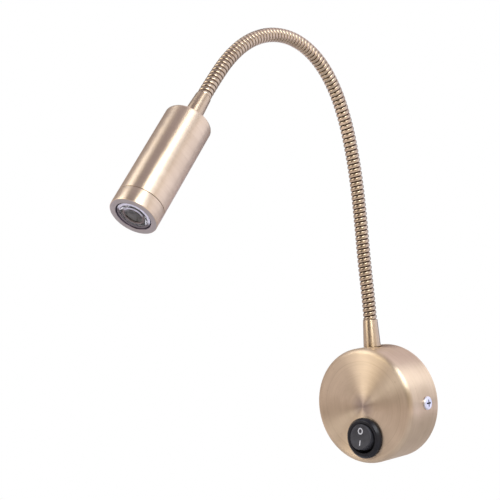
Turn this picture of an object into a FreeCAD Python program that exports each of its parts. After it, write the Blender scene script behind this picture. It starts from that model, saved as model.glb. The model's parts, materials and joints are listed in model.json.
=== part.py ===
"""Bedside wall reading lamp: a round base with a rocker switch, a ribbed flexible neck and an LED spot head.

Millimetres, +Z up. The wall is the plane Y = 0 and the lamp stands out from it towards -Y.
The origin is the centre of the base's back face. X = 0 is the plane in which the neck curves.
"""

import FreeCAD, Part
import math
import os

Vector = FreeCAD.Vector
Placement = FreeCAD.Placement
Rotation = FreeCAD.Rotation

X_AXIS = Vector(1, 0, 0)
Y_AXIS = Vector(0, 1, 0)
Z_AXIS = Vector(0, 0, 1)
ORIGIN = Vector(0, 0, 0)

# ---------------------------------------------------------------- driving dimensions

# fits
screw_clearance = 0.02      # radial, thread in its tapped hole
slip_clearance = 0.1        # radial, parts that are pushed together
hole_clearance = 0.15       # radial, a fastener or spigot through a plain hole
air_gap = 0.3               # between parts that must not touch

# base cover: a turned cup, open to the wall
base_diameter = 68.0
base_depth = 28.0
cover_wall = 1.2
cover_edge_radius = 3.3

# wall plate inside the cover
plate_thickness = 1.5
tab_width = 10.0
tab_thickness = 2.0
tab_length = 14.5
slot_inset = 11.0           # from the cover's side to a slot's centre
slot_width = 4.5
slot_length = 8.0
cover_screw_height = 11.4   # from the wall to the screw's axis

# screws
m4_radius = 2.0
m4_head_radius = 4.0
m4_head_height = 1.2
cover_screw_length = 6.0
recess_width = 0.9
recess_length = 4.4
recess_depth = 0.9
head_rounding = 0.6         # share of a screw head's height that is rounded

# cable entry in the wall plate
cable_bore_radius = 3.5
grommet_wall = 1.2
grommet_flange_radius = 6.3
grommet_flange_thickness = 1.2
cable_entry_drop = 6.0      # below the base's centre

# LED driver above the switch
driver_width = 32.0
driver_height = 20.0
driver_depth = 15.0
driver_wall = 1.0
driver_bottom = 2.0         # above the base's centre
pad_thickness = 1.0         # adhesive pad between the plate and the case
board_thickness = 1.2
coil_radius = 3.6
coil_height = 6.5
capacitor_radius = 3.2
capacitor_length = 9.0
chip_size = 4.0
chip_height = 1.3

# terminal block and earth terminal
block_width = 12.0
block_height = 10.0
block_depth = 10.0
block_corner_gap = 1.4      # from the cover's inside to the block's outer corner
block_corner_angle = 37.2   # degrees below the middle, on the left
block_hole_radius = 1.4
block_hole_height = 3.3     # above the wall plate
block_screw_radius = 1.3
block_screw_depth = 5.0
clamp_slot_width = 0.45
clamp_slot_depth = 1.8
earth_edge_gap = 10.3       # from the cover's inside to the earth screw's axis
earth_angle = 32.3          # degrees below the middle, on the right
earth_washer_thickness = 0.8
earth_tag_length = 12.0

# switch, for a round 20 mm panel hole
switch_edge_gap = 15.33     # from the cover's side to the switch's axis
switch_body_radius = 10.0
switch_body_wall = 1.2
switch_flange_radius = 12.0
switch_flange_thickness = 3.2
switch_rim_height = 1.6     # of the flange's straight side, below its slope
switch_slope_width = 1.5    # across the slope, seen from the front
switch_body_depth = 13.8    # behind the cover's front face
switch_floor = 2.0
barb_height = 0.6
barb_length = 4.6
barb_width = 5.0
tab_terminal_width = 4.8
tab_terminal_thickness = 0.8
tab_terminal_length = 7.6
tab_terminal_pitch = 5.0
rocker_radius = 7.5
rocker_pivot_depth = 4.5    # behind the flange's front face
rocker_front = 6.4          # from the pivot to the middle of the rocker's face
rocker_back = 3.0
rocker_dish = 0.8           # the ends stand this much above the middle
rocker_edge_radius = 0.5
rocker_tilt = 11.0          # degrees each way from the middle
pivot_pin_radius = 1.0
pivot_pin_clearance = 0.05
plunger_radius = 1.2
plunger_reach = 8.0         # from the pivot to the plunger's tip
plunger_boss_radius = 2.4
plunger_boss_length = 5.6
spring_length = 3.6
blade_length = 13.0
blade_width = 4.0
blade_thickness = 0.5
blade_tilt = 4.0            # degrees each way from the middle

# neck
neck_diameter = 8.0
neck_height_on_base = 14.0  # from the wall to the neck's axis
rib_depth = 0.6
rib_pitch = 2.68
rib_crest = 1.45
rib_flank = 0.35
ribs_per_link = 8
spans_per_link = 4          # straight stretches that stand for a link's curve inside it
link_bends = (4, -3, 1, 4, 6, 10, 18, 22, 22, 19, 17, 13, 3)    # degrees each link turns forward
neck_bore_radius = 1.9
ball_radius = 3.2
ball_clearance = 0.07
hinge_swing = 18.0          # degrees, the most that one link tilts on the next
neck_core_radius = 3.3
neck_core_length = 10.0

# ferrules and their nuts
ferrule_tip_radius = 4.3
ferrule_foot_radius = 5.15
lower_ferrule_length = 16.0
upper_ferrule_length = 18.5
ferrule_lead_radius = 2.0
ferrule_tip_edge = 0.2
spigot_radius = 4.0
spigot_end = 1.2            # thread left past the nut
nut_width = 12.0            # across the flats
nut_thickness = 3.0
washer_radius = 6.8
washer_thickness = 0.8

# leads through the neck, in the base and in the head
lead_radius = 1.3
wire_radius = 0.8
wire_run = 4.0              # straight run at the end of a supply lead
arc_share = 0.45            # share of the shorter run that a bend takes up
core_radius = 0.5
lead_free_end = 8.0         # from the end of the lead to the heat sink

# head
head_diameter = 26.0
head_length = 66.6
head_rear_wall = 3.0
head_rear_radius = 1.5
head_bore_radius = 11.0
bezel_length = 8.8
bezel_spigot_length = 5.0
bezel_thread_radius = 11.6
bezel_wall = 0.6
bezel_lip = 1.8
bezel_opening_radius = 9.6
bezel_chamfer = 0.4
joint_groove = 0.15
heat_sink_length = 8.0
led_board_radius = 10.0
led_board_thickness = 1.6
led_size = 3.45
led_height = 0.8
led_dome_radius = 1.3
board_screw_circle = 7.4
m2_radius = 1.0
m2_head_radius = 1.7
m2_head_height = 1.2
board_screw_length = 5.0
core_hole_circle = 7.8
gasket_thickness = 0.5
lens_height = 12.8
lens_flange_thickness = 1.0
lens_flange_radius = 10.5
lens_rim_radius = 9.2
lens_back_radius = 5.2
lens_back_gap = 1.9         # from the board to the lens's back
lens_led_well_radius = 3.4
lens_led_well_depth = 4.5
lens_boss_height = 1.8      # in front of the flange, inside the bezel's lip
lens_front_well_radius = 4.6
lens_front_well_depth = 5.3
holder_wall = 0.7
holder_legs = 3
holder_leg_width = 4.0
holder_leg_length = 5.0

# ---------------------------------------------------------------- derived sizes

base_radius = base_diameter / 2
cover_inner_radius = base_radius - cover_wall
slot_spacing = base_diameter - 2 * slot_inset
plate_radius = cover_inner_radius - slip_clearance
tab_outer = math.sqrt(plate_radius ** 2 - (tab_width / 2) ** 2)
tab_inner = tab_outer - tab_thickness
grommet_hole_radius = cable_bore_radius + grommet_wall

block_corner_reach = cover_inner_radius - block_corner_gap
block_left = -block_corner_reach * math.cos(math.radians(block_corner_angle))
block_bottom = -block_corner_reach * math.sin(math.radians(block_corner_angle))
block_front = plate_thickness + block_depth
earth_reach = cover_inner_radius - earth_edge_gap
earth_x = earth_reach * math.cos(math.radians(earth_angle))
earth_z = -earth_reach * math.sin(math.radians(earth_angle))

switch_drop = base_radius - switch_edge_gap
switch_opening_radius = switch_body_radius - switch_body_wall
switch_front = base_depth + switch_flange_thickness
switch_back = base_depth - switch_body_depth
rocker_pivot = switch_front - rocker_pivot_depth
pivot_pin_length = (switch_opening_radius + switch_body_radius) / 2
switch_floor_top = switch_back + switch_floor
blade_top = rocker_pivot - plunger_reach - slip_clearance
blade_middle = blade_top - blade_thickness / 2
blade_drop = math.sin(math.radians(blade_tilt)) * tab_terminal_pitch

neck_radius = neck_diameter / 2
groove_radius = neck_radius - rib_depth
link_length = rib_pitch * ribs_per_link
socket_radius = ball_radius + ball_clearance
swing = math.tan(math.radians(hinge_swing))
first_groove = groove_radius * swing + slip_clearance
first_crest = neck_radius * swing + hole_clearance

ferrule_socket_radius = neck_core_radius + ball_clearance
ferrule_socket_depth = neck_core_length + air_gap
base_washer_top = math.sqrt(cover_inner_radius ** 2 - washer_radius ** 2) - screw_clearance
base_nut_top = base_washer_top - washer_thickness
base_spigot_bottom = base_nut_top - nut_thickness - spigot_end
driver_back = plate_thickness + pad_thickness
driver_top = driver_bottom + driver_height
driver_middle = driver_bottom + driver_height / 2
inlet_x = driver_width / 3

head_radius = head_diameter / 2
head_body_length = head_length - bezel_length
head_spigot_top = head_rear_wall + washer_thickness + nut_thickness + spigot_end
lip_back = head_length - bezel_lip
lens_front = lip_back - gasket_thickness
lens_shoulder = lens_front - lens_flange_thickness
lens_back = lens_front - lens_height
board_front = lens_back - lens_back_gap
board_back = board_front - led_board_thickness
seat_depth = board_back - heat_sink_length
holder_outer_radius = lens_flange_radius + slip_clearance
holder_inner_radius = holder_outer_radius - holder_wall
bezel_bore_radius = bezel_thread_radius - slip_clearance - bezel_wall
lead_end = seat_depth - lead_free_end

# Local frames. In the base's frame x is +X, y is up the wall and z is out from the wall.
base_frame = Placement(ORIGIN, Rotation(X_AXIS, 90))
ferrule_frame = Placement(Vector(0, -neck_height_on_base, base_radius), Rotation())
neck_start = Placement(Vector(0, -neck_height_on_base, base_radius + lower_ferrule_length), Rotation())


# ---------------------------------------------------------------- helpers

def cylinder(radius, bottom, top, x=0.0, y=0.0):
    """A cylinder along z."""
    return Part.makeCylinder(radius, top - bottom, Vector(x, y, bottom), Z_AXIS)


def block(x_range, y_range, z_range):
    """A box given by its low and high value on each axis."""
    size = [high - low for low, high in (x_range, y_range, z_range)]
    corner = Vector(x_range[0], y_range[0], z_range[0])
    return Part.makeBox(size[0], size[1], size[2], corner)


def turned(points):
    """A solid of revolution about z, from the (radius, z) corners of half its section."""
    corners = [Vector(radius, 0, z) for radius, z in points]
    outline = Part.makePolygon(corners + [corners[0]])
    return Part.Face(outline).revolve(ORIGIN, Z_AXIS, 360)


def edges_at(shape, radius, z, tolerance=0.001):
    """The circular edges of that radius at that height, centred on z."""
    found = []
    for edge in shape.Edges:
        curve = edge.Curve
        if not isinstance(curve, Part.Circle):
            continue
        on_axis = math.hypot(curve.Center.x, curve.Center.y) < tolerance
        if on_axis and abs(curve.Center.z - z) < tolerance and abs(curve.Radius - radius) < tolerance:
            found.append(edge)
    return found


def hexagon(width, bottom, top):
    """A hexagonal prism along z, by its width across the flats."""
    corner_radius = width / math.sqrt(3)
    corners = []
    for side in range(7):
        angle = math.radians(60 * side)
        corners.append(Vector(corner_radius * math.cos(angle), corner_radius * math.sin(angle), bottom))
    return Part.Face(Part.makePolygon(corners)).extrude(Vector(0, 0, top - bottom))


def pan_screw(thread_radius, head_radius, head_height, length, recess_scale=1.0):
    """A pan-head cross-recess screw. Its seat is z = 0, its head stands up and its thread hangs down."""
    head = cylinder(head_radius, 0, head_height)
    head = head.makeFillet(head_height * head_rounding, edges_at(head, head_radius, head_height))
    screw = head.fuse(cylinder(thread_radius, -length, 0))
    reach = recess_length * recess_scale / 2
    half = recess_width * recess_scale / 2
    floor = head_height - recess_depth * recess_scale
    screw = screw.cut(block((-reach, reach), (-half, half), (floor, head_height)))
    screw = screw.cut(block((-half, half), (-reach, reach), (floor, head_height)))
    return screw.removeSplitter()


def placed(shape, frame):
    """The shape moved from a local frame into the lamp's frame."""
    moved = shape.copy()
    moved.Placement = frame.multiply(moved.Placement)
    return moved


def walk(frame, length, turn):
    """The frame reached after an arc of that length that turns forward by that many degrees."""
    angle = math.radians(turn)
    if abs(angle) < 1e-9:
        step = Vector(0, 0, length)
    else:
        radius = length / angle
        step = Vector(0, -radius * (1 - math.cos(angle)), radius * math.sin(angle))
    return frame.multiply(Placement(step, Rotation(X_AXIS, turn)))


def circle_at(frame, radius):
    """A circle about the frame's z axis, with its seam on the frame's x axis."""
    ring = Part.Wire([Part.Circle(ORIGIN, Z_AXIS, radius).toShape()])
    ring.Placement = frame
    return ring


def tube_on_path(points, radius):
    """A round tube along straight runs joined by tangent arcs, each as large as its runs allow."""
    edges = []
    start = points[0]
    for before, corner, after in zip(points, points[1:], points[2:]):
        back = (before - corner).normalize()
        ahead = (after - corner).normalize()
        half_turn = (math.pi - back.getAngle(ahead)) / 2
        shorter = min((before - corner).Length, (after - corner).Length)
        arc_radius = arc_share * shorter / math.tan(half_turn)
        reach = arc_radius * math.tan(half_turn)
        first = corner + back * reach
        last = corner + ahead * reach
        to_centre = (back + ahead).normalize()
        middle = corner + to_centre * (arc_radius / math.cos(half_turn) - arc_radius)
        edges.append(Part.LineSegment(start, first).toShape())
        edges.append(Part.Arc(first, middle, last).toShape())
        start = last
    edges.append(Part.LineSegment(start, points[-1]).toShape())
    path = Part.Wire(edges)
    direction = points[1] - points[0]
    section = Part.Wire([Part.Circle(points[0], direction, radius).toShape()])
    return path.makePipeShell([section], True, False)


def mirrored(shape):
    """The shape and its copy on the other side of x = 0."""
    return [shape, shape.mirror(ORIGIN, X_AXIS)]


# ---------------------------------------------------------------- base

def cover():
    """The cup that shows: a round front face, a rounded edge and a straight side."""
    cup = cylinder(base_radius, 0, base_depth)
    cup = cup.makeFillet(cover_edge_radius, edges_at(cup, base_radius, base_depth))
    inside = cylinder(cover_inner_radius, 0, base_depth - cover_wall)
    inner_edge = cover_edge_radius - cover_wall
    inside = inside.makeFillet(inner_edge, edges_at(inside, cover_inner_radius, base_depth - cover_wall))
    cup = cup.cut(inside)
    cup = cup.cut(cylinder(switch_body_radius + hole_clearance, 0, switch_front, y=-switch_drop))
    neck_axis = Vector(0, 0, neck_height_on_base)
    cup = cup.cut(Part.makeCylinder(spigot_radius + hole_clearance, base_radius, neck_axis, Y_AXIS))
    left_side = Vector(-base_radius, 0, cover_screw_height)
    cup = cup.cut(Part.makeCylinder(m4_radius + hole_clearance, base_diameter, left_side, X_AXIS))
    return placed(cup, base_frame)


def wall_plate():
    """The steel plate that is screwed to the wall, with two bent tabs that the cover's screws go into."""
    plate = cylinder(plate_radius, 0, plate_thickness)
    for tab in mirrored(block((tab_inner, tab_outer), (-tab_width / 2, tab_width / 2), (0, tab_length))):
        plate = plate.fuse(tab)
    for side in (-1, 1):
        plate = plate.cut(slot_hole(side * slot_spacing / 2))
    plate = plate.cut(cylinder(grommet_hole_radius, 0, plate_thickness, y=-cable_entry_drop))
    plate = plate.cut(cylinder(m4_radius + screw_clearance, 0, plate_thickness, x=earth_x, y=earth_z))
    tapped = Part.makeCylinder(
        m4_radius + screw_clearance, base_diameter, Vector(-base_radius, 0, cover_screw_height), X_AXIS
    )
    return placed(plate.cut(tapped).removeSplitter(), base_frame)


def slot_hole(x):
    """A slot through the plate for one wall screw, centred at x."""
    half_straight = (slot_length - slot_width) / 2
    half_width = slot_width / 2
    ends = (x - half_straight, x + half_straight)
    hole = block(ends, (-half_width, half_width), (0, plate_thickness))
    for end in ends:
        hole = hole.fuse(cylinder(half_width, 0, plate_thickness, x=end))
    return hole


def cover_screws():
    """The two screws that hold the cover on the plate's tabs."""
    screw = pan_screw(m4_radius, m4_head_radius, m4_head_height, cover_screw_length)
    screw.Placement = Placement(Vector(base_radius, 0, cover_screw_height), Rotation(Y_AXIS, 90))
    return placed(Part.makeCompound(mirrored(screw)), base_frame)


def cable_grommet():
    """The rubber ring in the plate's cable hole, flush with the wall side."""
    front = plate_thickness + grommet_flange_thickness
    ring = cylinder(grommet_hole_radius - screw_clearance, 0, plate_thickness)
    ring = ring.fuse(cylinder(grommet_flange_radius, plate_thickness, front))
    ring = ring.cut(cylinder(cable_bore_radius, 0, front))
    ring = ring.removeSplitter()
    ring.Placement = Placement(Vector(0, -cable_entry_drop, 0), Rotation())
    return placed(ring, base_frame)


def driver_pad():
    """The adhesive pad that holds the driver on the plate."""
    half = driver_width / 2 - driver_wall
    pad = block(
        (-half, half),
        (driver_bottom + driver_wall, driver_top - driver_wall),
        (plate_thickness, driver_back),
    )
    return placed(pad, base_frame)


def driver_case():
    """The driver's moulded case, open at the back where the pad closes it."""
    half = driver_width / 2
    front = driver_back + driver_depth
    case = block((-half, half), (driver_bottom, driver_top), (driver_back, front))
    hollow = block(
        (-half + driver_wall, half - driver_wall),
        (driver_bottom + driver_wall, driver_top - driver_wall),
        (driver_back, front - driver_wall),
    )
    case = case.cut(hollow)
    outlet = Vector(0, driver_middle, neck_height_on_base)
    case = case.cut(Part.makeCylinder(lead_radius + hole_clearance, driver_height, outlet, Y_AXIS))
    for x in (-inlet_x, inlet_x):
        inlet = Vector(x, driver_bottom, wire_plane())
        case = case.cut(Part.makeCylinder(wire_radius + hole_clearance, driver_height / 2, inlet, Y_AXIS))
    return placed(case, base_frame)


def board_z():
    """Height of the driver board's component face above the wall."""
    return driver_back + 2 * driver_wall + board_thickness


def driver_board():
    """The driver's circuit board."""
    edge = driver_wall + slip_clearance
    board = block(
        (-driver_width / 2 + edge, driver_width / 2 - edge),
        (driver_bottom + edge, driver_top - edge),
        (board_z() - board_thickness, board_z()),
    )
    return placed(board, base_frame)


def driver_parts():
    """The large components on the board: a wound coil, a capacitor lying flat and a chip."""
    quarter = driver_width / 4
    coil = cylinder(coil_radius, board_z(), board_z() + coil_height, x=-quarter, y=driver_middle)
    low_end = Vector(quarter, driver_middle - capacitor_length / 2, board_z() + capacitor_radius)
    capacitor = Part.makeCylinder(capacitor_radius, capacitor_length, low_end, Y_AXIS)
    half = chip_size / 2
    chip_middle = driver_middle - chip_size
    chip = block(
        (-half, half),
        (chip_middle - half, chip_middle + half),
        (board_z(), board_z() + chip_height),
    )
    return placed(Part.makeCompound([coil, capacitor, chip]), base_frame)


def way_places():
    """Where the block's two wire holes are, across the base."""
    return (block_left + block_width / 4, block_left + 3 * block_width / 4)


def terminal_block():
    """The two-way block that the supply cable is clamped in."""
    body = block(
        (block_left, block_left + block_width),
        (block_bottom, block_bottom + block_height),
        (plate_thickness, block_front),
    )
    middle = block_bottom + block_height / 2
    for x in way_places():
        wire_hole = Vector(x, block_bottom, plate_thickness + block_hole_height)
        body = body.cut(Part.makeCylinder(block_hole_radius, block_height, wire_hole, Y_AXIS))
        hole_radius = block_screw_radius + slip_clearance
        body = body.cut(cylinder(hole_radius, block_front - block_screw_depth, block_front, x=x, y=middle))
    return placed(body, base_frame)


def terminal_screws():
    """The block's two clamp screws, one above each wire hole."""
    middle = block_bottom + block_height / 2
    half_slot = clamp_slot_width / 2
    bottom = block_front - block_screw_depth
    screws = []
    for x in way_places():
        screw = cylinder(block_screw_radius, bottom, block_front - air_gap, x=x, y=middle)
        slot = block(
            (x - block_screw_radius, x + block_screw_radius),
            (middle - half_slot, middle + half_slot),
            (block_front - clamp_slot_depth, block_front),
        )
        screws.append(screw.cut(slot))
    return placed(Part.makeCompound(screws), base_frame)


def earth_tag():
    """The solder tag under the earth screw."""
    bottom = plate_thickness
    top = plate_thickness + earth_washer_thickness
    tag = cylinder(m4_head_radius, bottom, top, x=earth_x, y=earth_z)
    half = tab_terminal_width / 2
    sides = (earth_x - half, earth_x + half)
    tag = tag.fuse(block(sides, (earth_z - earth_tag_length, earth_z), (bottom, top)))
    tag = tag.cut(cylinder(m4_radius + hole_clearance, bottom, top, x=earth_x, y=earth_z))
    return placed(tag.removeSplitter(), base_frame)


def earth_screw():
    """The screw that bonds the plate to earth."""
    length = plate_thickness + earth_washer_thickness
    screw = pan_screw(m4_radius, m4_head_radius, m4_head_height, length)
    screw.Placement = Placement(Vector(earth_x, earth_z, length), Rotation())
    return placed(screw, base_frame)


# ---------------------------------------------------------------- switch

def in_switch(shape):
    """The shape moved from the switch's own axis into the lamp's frame."""
    return placed(shape, base_frame.multiply(Placement(Vector(0, -switch_drop, 0), Rotation())))


def terminal_places():
    """Where the two tabs stand, up the switch's axis: the blade's middle and its upper end."""
    return (0.0, tab_terminal_pitch)


def switch_body():
    """The round housing with its flange, its two snap barbs and the holes for the rocker's pins."""
    body = cylinder(switch_body_radius, switch_back, base_depth)
    flange = turned([
        (0, base_depth),
        (switch_flange_radius, base_depth),
        (switch_flange_radius, base_depth + switch_rim_height),
        (switch_flange_radius - switch_slope_width, switch_front),
        (0, switch_front),
    ])
    body = body.fuse(flange)
    body = body.fuse(switch_barbs())
    body = body.cut(cylinder(switch_opening_radius, switch_floor_top, switch_front))
    pin_reach = pivot_pin_length + slip_clearance
    pin_hole_radius = pivot_pin_radius + pivot_pin_clearance
    left_end = Vector(-pin_reach, 0, rocker_pivot)
    body = body.cut(Part.makeCylinder(pin_hole_radius, 2 * pin_reach, left_end, X_AXIS))
    half_width = tab_terminal_width / 2 + screw_clearance
    half_thick = tab_terminal_thickness / 2 + screw_clearance
    for y in terminal_places():
        thick = (y - half_thick, y + half_thick)
        body = body.cut(block((-half_width, half_width), thick, (switch_back, switch_floor_top)))
    return in_switch(body.removeSplitter())


def switch_barbs():
    """The two ramps that snap behind the cover's wall, one on each side of the housing."""
    top = base_depth - cover_wall - slip_clearance
    root = (switch_opening_radius + switch_body_radius) / 2
    ring = turned([
        (root, top),
        (switch_body_radius + barb_height, top),
        (switch_body_radius, top - barb_length),
        (root, top - barb_length),
    ])
    reach = switch_flange_radius
    return ring.common(block((-reach, reach), (-barb_width / 2, barb_width / 2), (0, switch_front)))


def switch_terminals():
    """The two flat tabs through the housing's floor."""
    half_width = tab_terminal_width / 2
    half_thick = tab_terminal_thickness / 2
    bottom = switch_back - tab_terminal_length
    under_blade = blade_middle - blade_thickness / 2
    tops = (under_blade - slip_clearance, under_blade - blade_thickness / 2 - blade_drop)
    tabs = []
    for y, top in zip(terminal_places(), tops):
        tabs.append(block((-half_width, half_width), (y - half_thick, y + half_thick), (bottom, top)))
    return in_switch(Part.makeCompound(tabs))


def switch_contact():
    """The see-saw blade that the plunger tips on to the upper terminal."""
    half = blade_length / 2
    blade = block(
        (-blade_width / 2, blade_width / 2),
        (-half, half),
        (blade_middle - blade_thickness / 2, blade_middle + blade_thickness / 2),
    )
    blade.rotate(Vector(0, 0, blade_middle), X_AXIS, blade_tilt)
    return in_switch(blade)


def at_rest(shape):
    """A piece of the rocker tilted to its off position, with the lower end out."""
    shape.rotate(Vector(0, 0, rocker_pivot), X_AXIS, -rocker_tilt)
    return in_switch(shape)


def switch_rocker():
    """The round rocker with its dished face, its two pivot pins and the plunger's boss."""
    face = rocker_pivot + rocker_front
    rocker = cylinder(rocker_radius, rocker_pivot - rocker_back, face + rocker_dish * 2)
    dish_radius = (rocker_radius ** 2 + rocker_dish ** 2) / (2 * rocker_dish)
    dish_end = Vector(-rocker_radius, 0, face + dish_radius)
    rocker = rocker.cut(Part.makeCylinder(dish_radius, 2 * rocker_radius, dish_end, X_AXIS))
    rim = [edge for edge in rocker.Edges if edge.BoundBox.ZMin > face - rocker_edge_radius]
    rocker = rocker.makeFillet(rocker_edge_radius, rim)
    rocker = rocker.fuse(cylinder(plunger_boss_radius, rocker_pivot - plunger_boss_length, rocker_pivot))
    left_end = Vector(-pivot_pin_length, 0, rocker_pivot)
    rocker = rocker.fuse(Part.makeCylinder(pivot_pin_radius, 2 * pivot_pin_length, left_end, X_AXIS))
    well = cylinder(plunger_radius + slip_clearance / 2, rocker_pivot - plunger_reach, rocker_pivot)
    return at_rest(rocker.cut(well).removeSplitter())


def plunger_top():
    """Where the spring meets the plunger, out from the wall."""
    return rocker_pivot - spring_length


def switch_plunger():
    """The sprung plunger in the rocker's boss, with a round tip."""
    tip = rocker_pivot - plunger_reach
    plunger = cylinder(plunger_radius, tip + plunger_radius, plunger_top())
    plunger = plunger.fuse(Part.makeSphere(plunger_radius, Vector(0, 0, tip + plunger_radius)))
    return at_rest(plunger.removeSplitter())


def switch_spring():
    """The plunger's spring, as the sleeve that it fills."""
    outer = plunger_radius - slip_clearance
    sleeve = cylinder(outer, plunger_top() + screw_clearance, rocker_pivot - screw_clearance)
    return at_rest(sleeve.cut(cylinder(outer / 2, plunger_top(), rocker_pivot)))


# ---------------------------------------------------------------- leads in the base

def wire_plane():
    """Height above the wall of the leads behind the switch, level with the ends of its tabs."""
    return switch_back - tab_terminal_length + 2 * wire_radius


def in_wire_plane(x, y):
    """A point of a lead, in the base's frame."""
    return Vector(x, y, wire_plane())


def supply_leads():
    """Three leads: block to switch, switch to driver and block to driver."""
    tab_edge = tab_terminal_width / 2
    lower_tab = -switch_drop
    upper_tab = tab_terminal_pitch - switch_drop
    block_right = block_left + block_width
    block_top = block_bottom + block_height
    inside = driver_bottom + driver_wall
    live = [
        in_wire_plane(block_right, lower_tab + wire_run / 2),
        in_wire_plane(block_right + wire_run, lower_tab + wire_run / 2),
        in_wire_plane((block_right + wire_run - tab_edge) / 2, lower_tab),
        in_wire_plane(-tab_edge, lower_tab),
    ]
    switched = [
        in_wire_plane(tab_edge, upper_tab),
        in_wire_plane(tab_edge + wire_run, upper_tab),
        in_wire_plane(inlet_x, (upper_tab + inside) / 2),
        in_wire_plane(inlet_x, inside),
    ]
    inner_way = way_places()[1]
    neutral = [
        in_wire_plane(inner_way, block_top),
        in_wire_plane(inner_way, block_top + wire_run),
        in_wire_plane(-inlet_x, (block_top + wire_run + inside) / 2),
        in_wire_plane(-inlet_x, inside),
    ]
    leads = [tube_on_path(points, wire_radius) for points in (live, switched, neutral)]
    return placed(Part.makeCompound(leads), base_frame)


# ---------------------------------------------------------------- neck

def link_starts():
    """The frame at the lower end of each link, and last the frame at the neck's upper end."""
    frames = [neck_start]
    for turn in link_bends:
        frames.append(walk(frames[-1], link_length, turn))
    return frames


def link_ribs(frame, turn, groove_start, crest_start):
    """The ribbed outside of one link, as one ruled loft through four circles for each rib."""
    rings = []
    for rib in range(ribs_per_link):
        crest_end = (rib + 1) * rib_pitch
        crest_begin = crest_end - rib_crest
        stations = [
            (crest_begin - rib_flank, groove_radius),
            (crest_begin, neck_radius),
            (crest_end, neck_radius),
        ]
        if rib == 0:
            stations[0] = (groove_start, groove_radius)
            stations[1] = (crest_start, neck_radius)
        if rib < ribs_per_link - 1:
            stations.append((crest_end + rib_flank, groove_radius))
        for along, radius in stations:
            share = along / link_length
            rings.append(circle_at(walk(frame, along, turn * share), radius))
    return Part.makeLoft(rings, True, True)


def link_bore(frame, turn, radius, before, after):
    """The round passage along a link, carried on straight past both of its ends."""
    rings = [circle_at(walk(frame, -before, 0), radius)]
    for step in range(spans_per_link + 1):
        share = step / spans_per_link
        rings.append(circle_at(walk(frame, link_length * share, turn * share), radius))
    rings.append(circle_at(walk(walk(frame, link_length, turn), after, 0), radius))
    return Part.makeLoft(rings, True, True)


def neck_link(number):
    """One rigid length of the neck: a ball below, a socket above and ribs between them."""
    frame = link_starts()[number]
    end = link_starts()[number + 1]
    turn = link_bends[number]
    first = number == 0
    last = number == len(link_bends) - 1
    if first:
        link = link_ribs(frame, turn, 0.0, rib_pitch - rib_crest)
        link = link.fuse(placed(cylinder(neck_core_radius, -neck_core_length, neck_bore_radius), frame))
    else:
        link = link_ribs(frame, turn, first_groove, first_crest)
        link = link.fuse(placed(Part.makeSphere(ball_radius), frame))
    if last:
        link = link.fuse(placed(cylinder(neck_core_radius, -neck_bore_radius, neck_core_length), end))
    else:
        link = link.cut(placed(Part.makeSphere(socket_radius), end))
    past = neck_core_length + neck_radius
    return link.cut(link_bore(frame, turn, neck_bore_radius, past, past))


def neck_lead():
    """The two-core lead from the driver to the head, along the whole neck."""
    frames = link_starts()
    down = neck_start.Base.z - driver_top + driver_wall
    rings = [circle_at(walk(frames[0], -down, 0), lead_radius)]
    for frame, turn in zip(frames, link_bends):
        for step in range(spans_per_link):
            share = step / spans_per_link
            rings.append(circle_at(walk(frame, link_length * share, turn * share), lead_radius))
    rings.append(circle_at(frames[-1], lead_radius))
    rings.append(circle_at(walk(frames[-1], upper_ferrule_length + lead_end, 0), lead_radius))
    return Part.makeLoft(rings, True, True)


# ---------------------------------------------------------------- ferrules and nuts

def ferrule(length):
    """A tapered sleeve along z with its wide end at z = 0 and the neck's socket in its tip."""
    sleeve = turned([
        (0, 0),
        (ferrule_foot_radius, 0),
        (ferrule_tip_radius, length - ferrule_tip_edge),
        (ferrule_tip_radius - ferrule_tip_edge, length),
        (0, length),
    ])
    return sleeve.cut(cylinder(ferrule_socket_radius, length - ferrule_socket_depth, length))


def lower_ferrule():
    """The ferrule on the base, shaped to the cover's round side, with its thread through the cover's wall."""
    sleeve = ferrule(lower_ferrule_length)
    sagitta = base_radius - math.sqrt(base_radius ** 2 - ferrule_foot_radius ** 2)
    foot = cylinder(ferrule_foot_radius, -sagitta - slip_clearance, 0)
    axis_end = Vector(0, -base_depth / 2, -base_radius)
    side = Part.makeCylinder(base_radius + screw_clearance, base_depth, axis_end, Y_AXIS)
    sleeve = sleeve.fuse(foot).cut(side)
    spigot_bottom = base_spigot_bottom - base_radius
    sleeve = sleeve.fuse(cylinder(spigot_radius, spigot_bottom, ferrule_tip_radius))
    sleeve = sleeve.cut(cylinder(ferrule_lead_radius, spigot_bottom, lower_ferrule_length))
    return placed(sleeve.removeSplitter(), ferrule_frame)


def nut_and_washer(washer_face):
    """A hexagon nut and its lock washer on z, below the face that the washer bears on."""
    nut_face = washer_face - washer_thickness
    nut_bottom = nut_face - nut_thickness
    washer = cylinder(washer_radius, nut_face, washer_face)
    washer = washer.cut(cylinder(spigot_radius + hole_clearance, nut_face, washer_face))
    nut = hexagon(nut_width, nut_bottom, nut_face)
    return nut.cut(cylinder(spigot_radius + screw_clearance, nut_bottom, nut_face)), washer


def base_nut():
    """The nut that clamps the neck to the base, from inside."""
    return placed(nut_and_washer(base_washer_top - base_radius)[0], ferrule_frame)


def base_washer():
    """The washer between that nut and the inside of the cover."""
    return placed(nut_and_washer(base_washer_top - base_radius)[1], ferrule_frame)


def head_frame():
    """The head's frame: its origin is the middle of the rear face and z points out of the lens."""
    return walk(link_starts()[-1], upper_ferrule_length, 0)


def head_end(shape):
    """A piece modelled below a face on z = 0, turned round and moved to the head's rear wall."""
    turned_round = placed(shape, Placement(ORIGIN, Rotation(X_AXIS, 180)))
    return placed(turned_round, head_frame())


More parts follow.
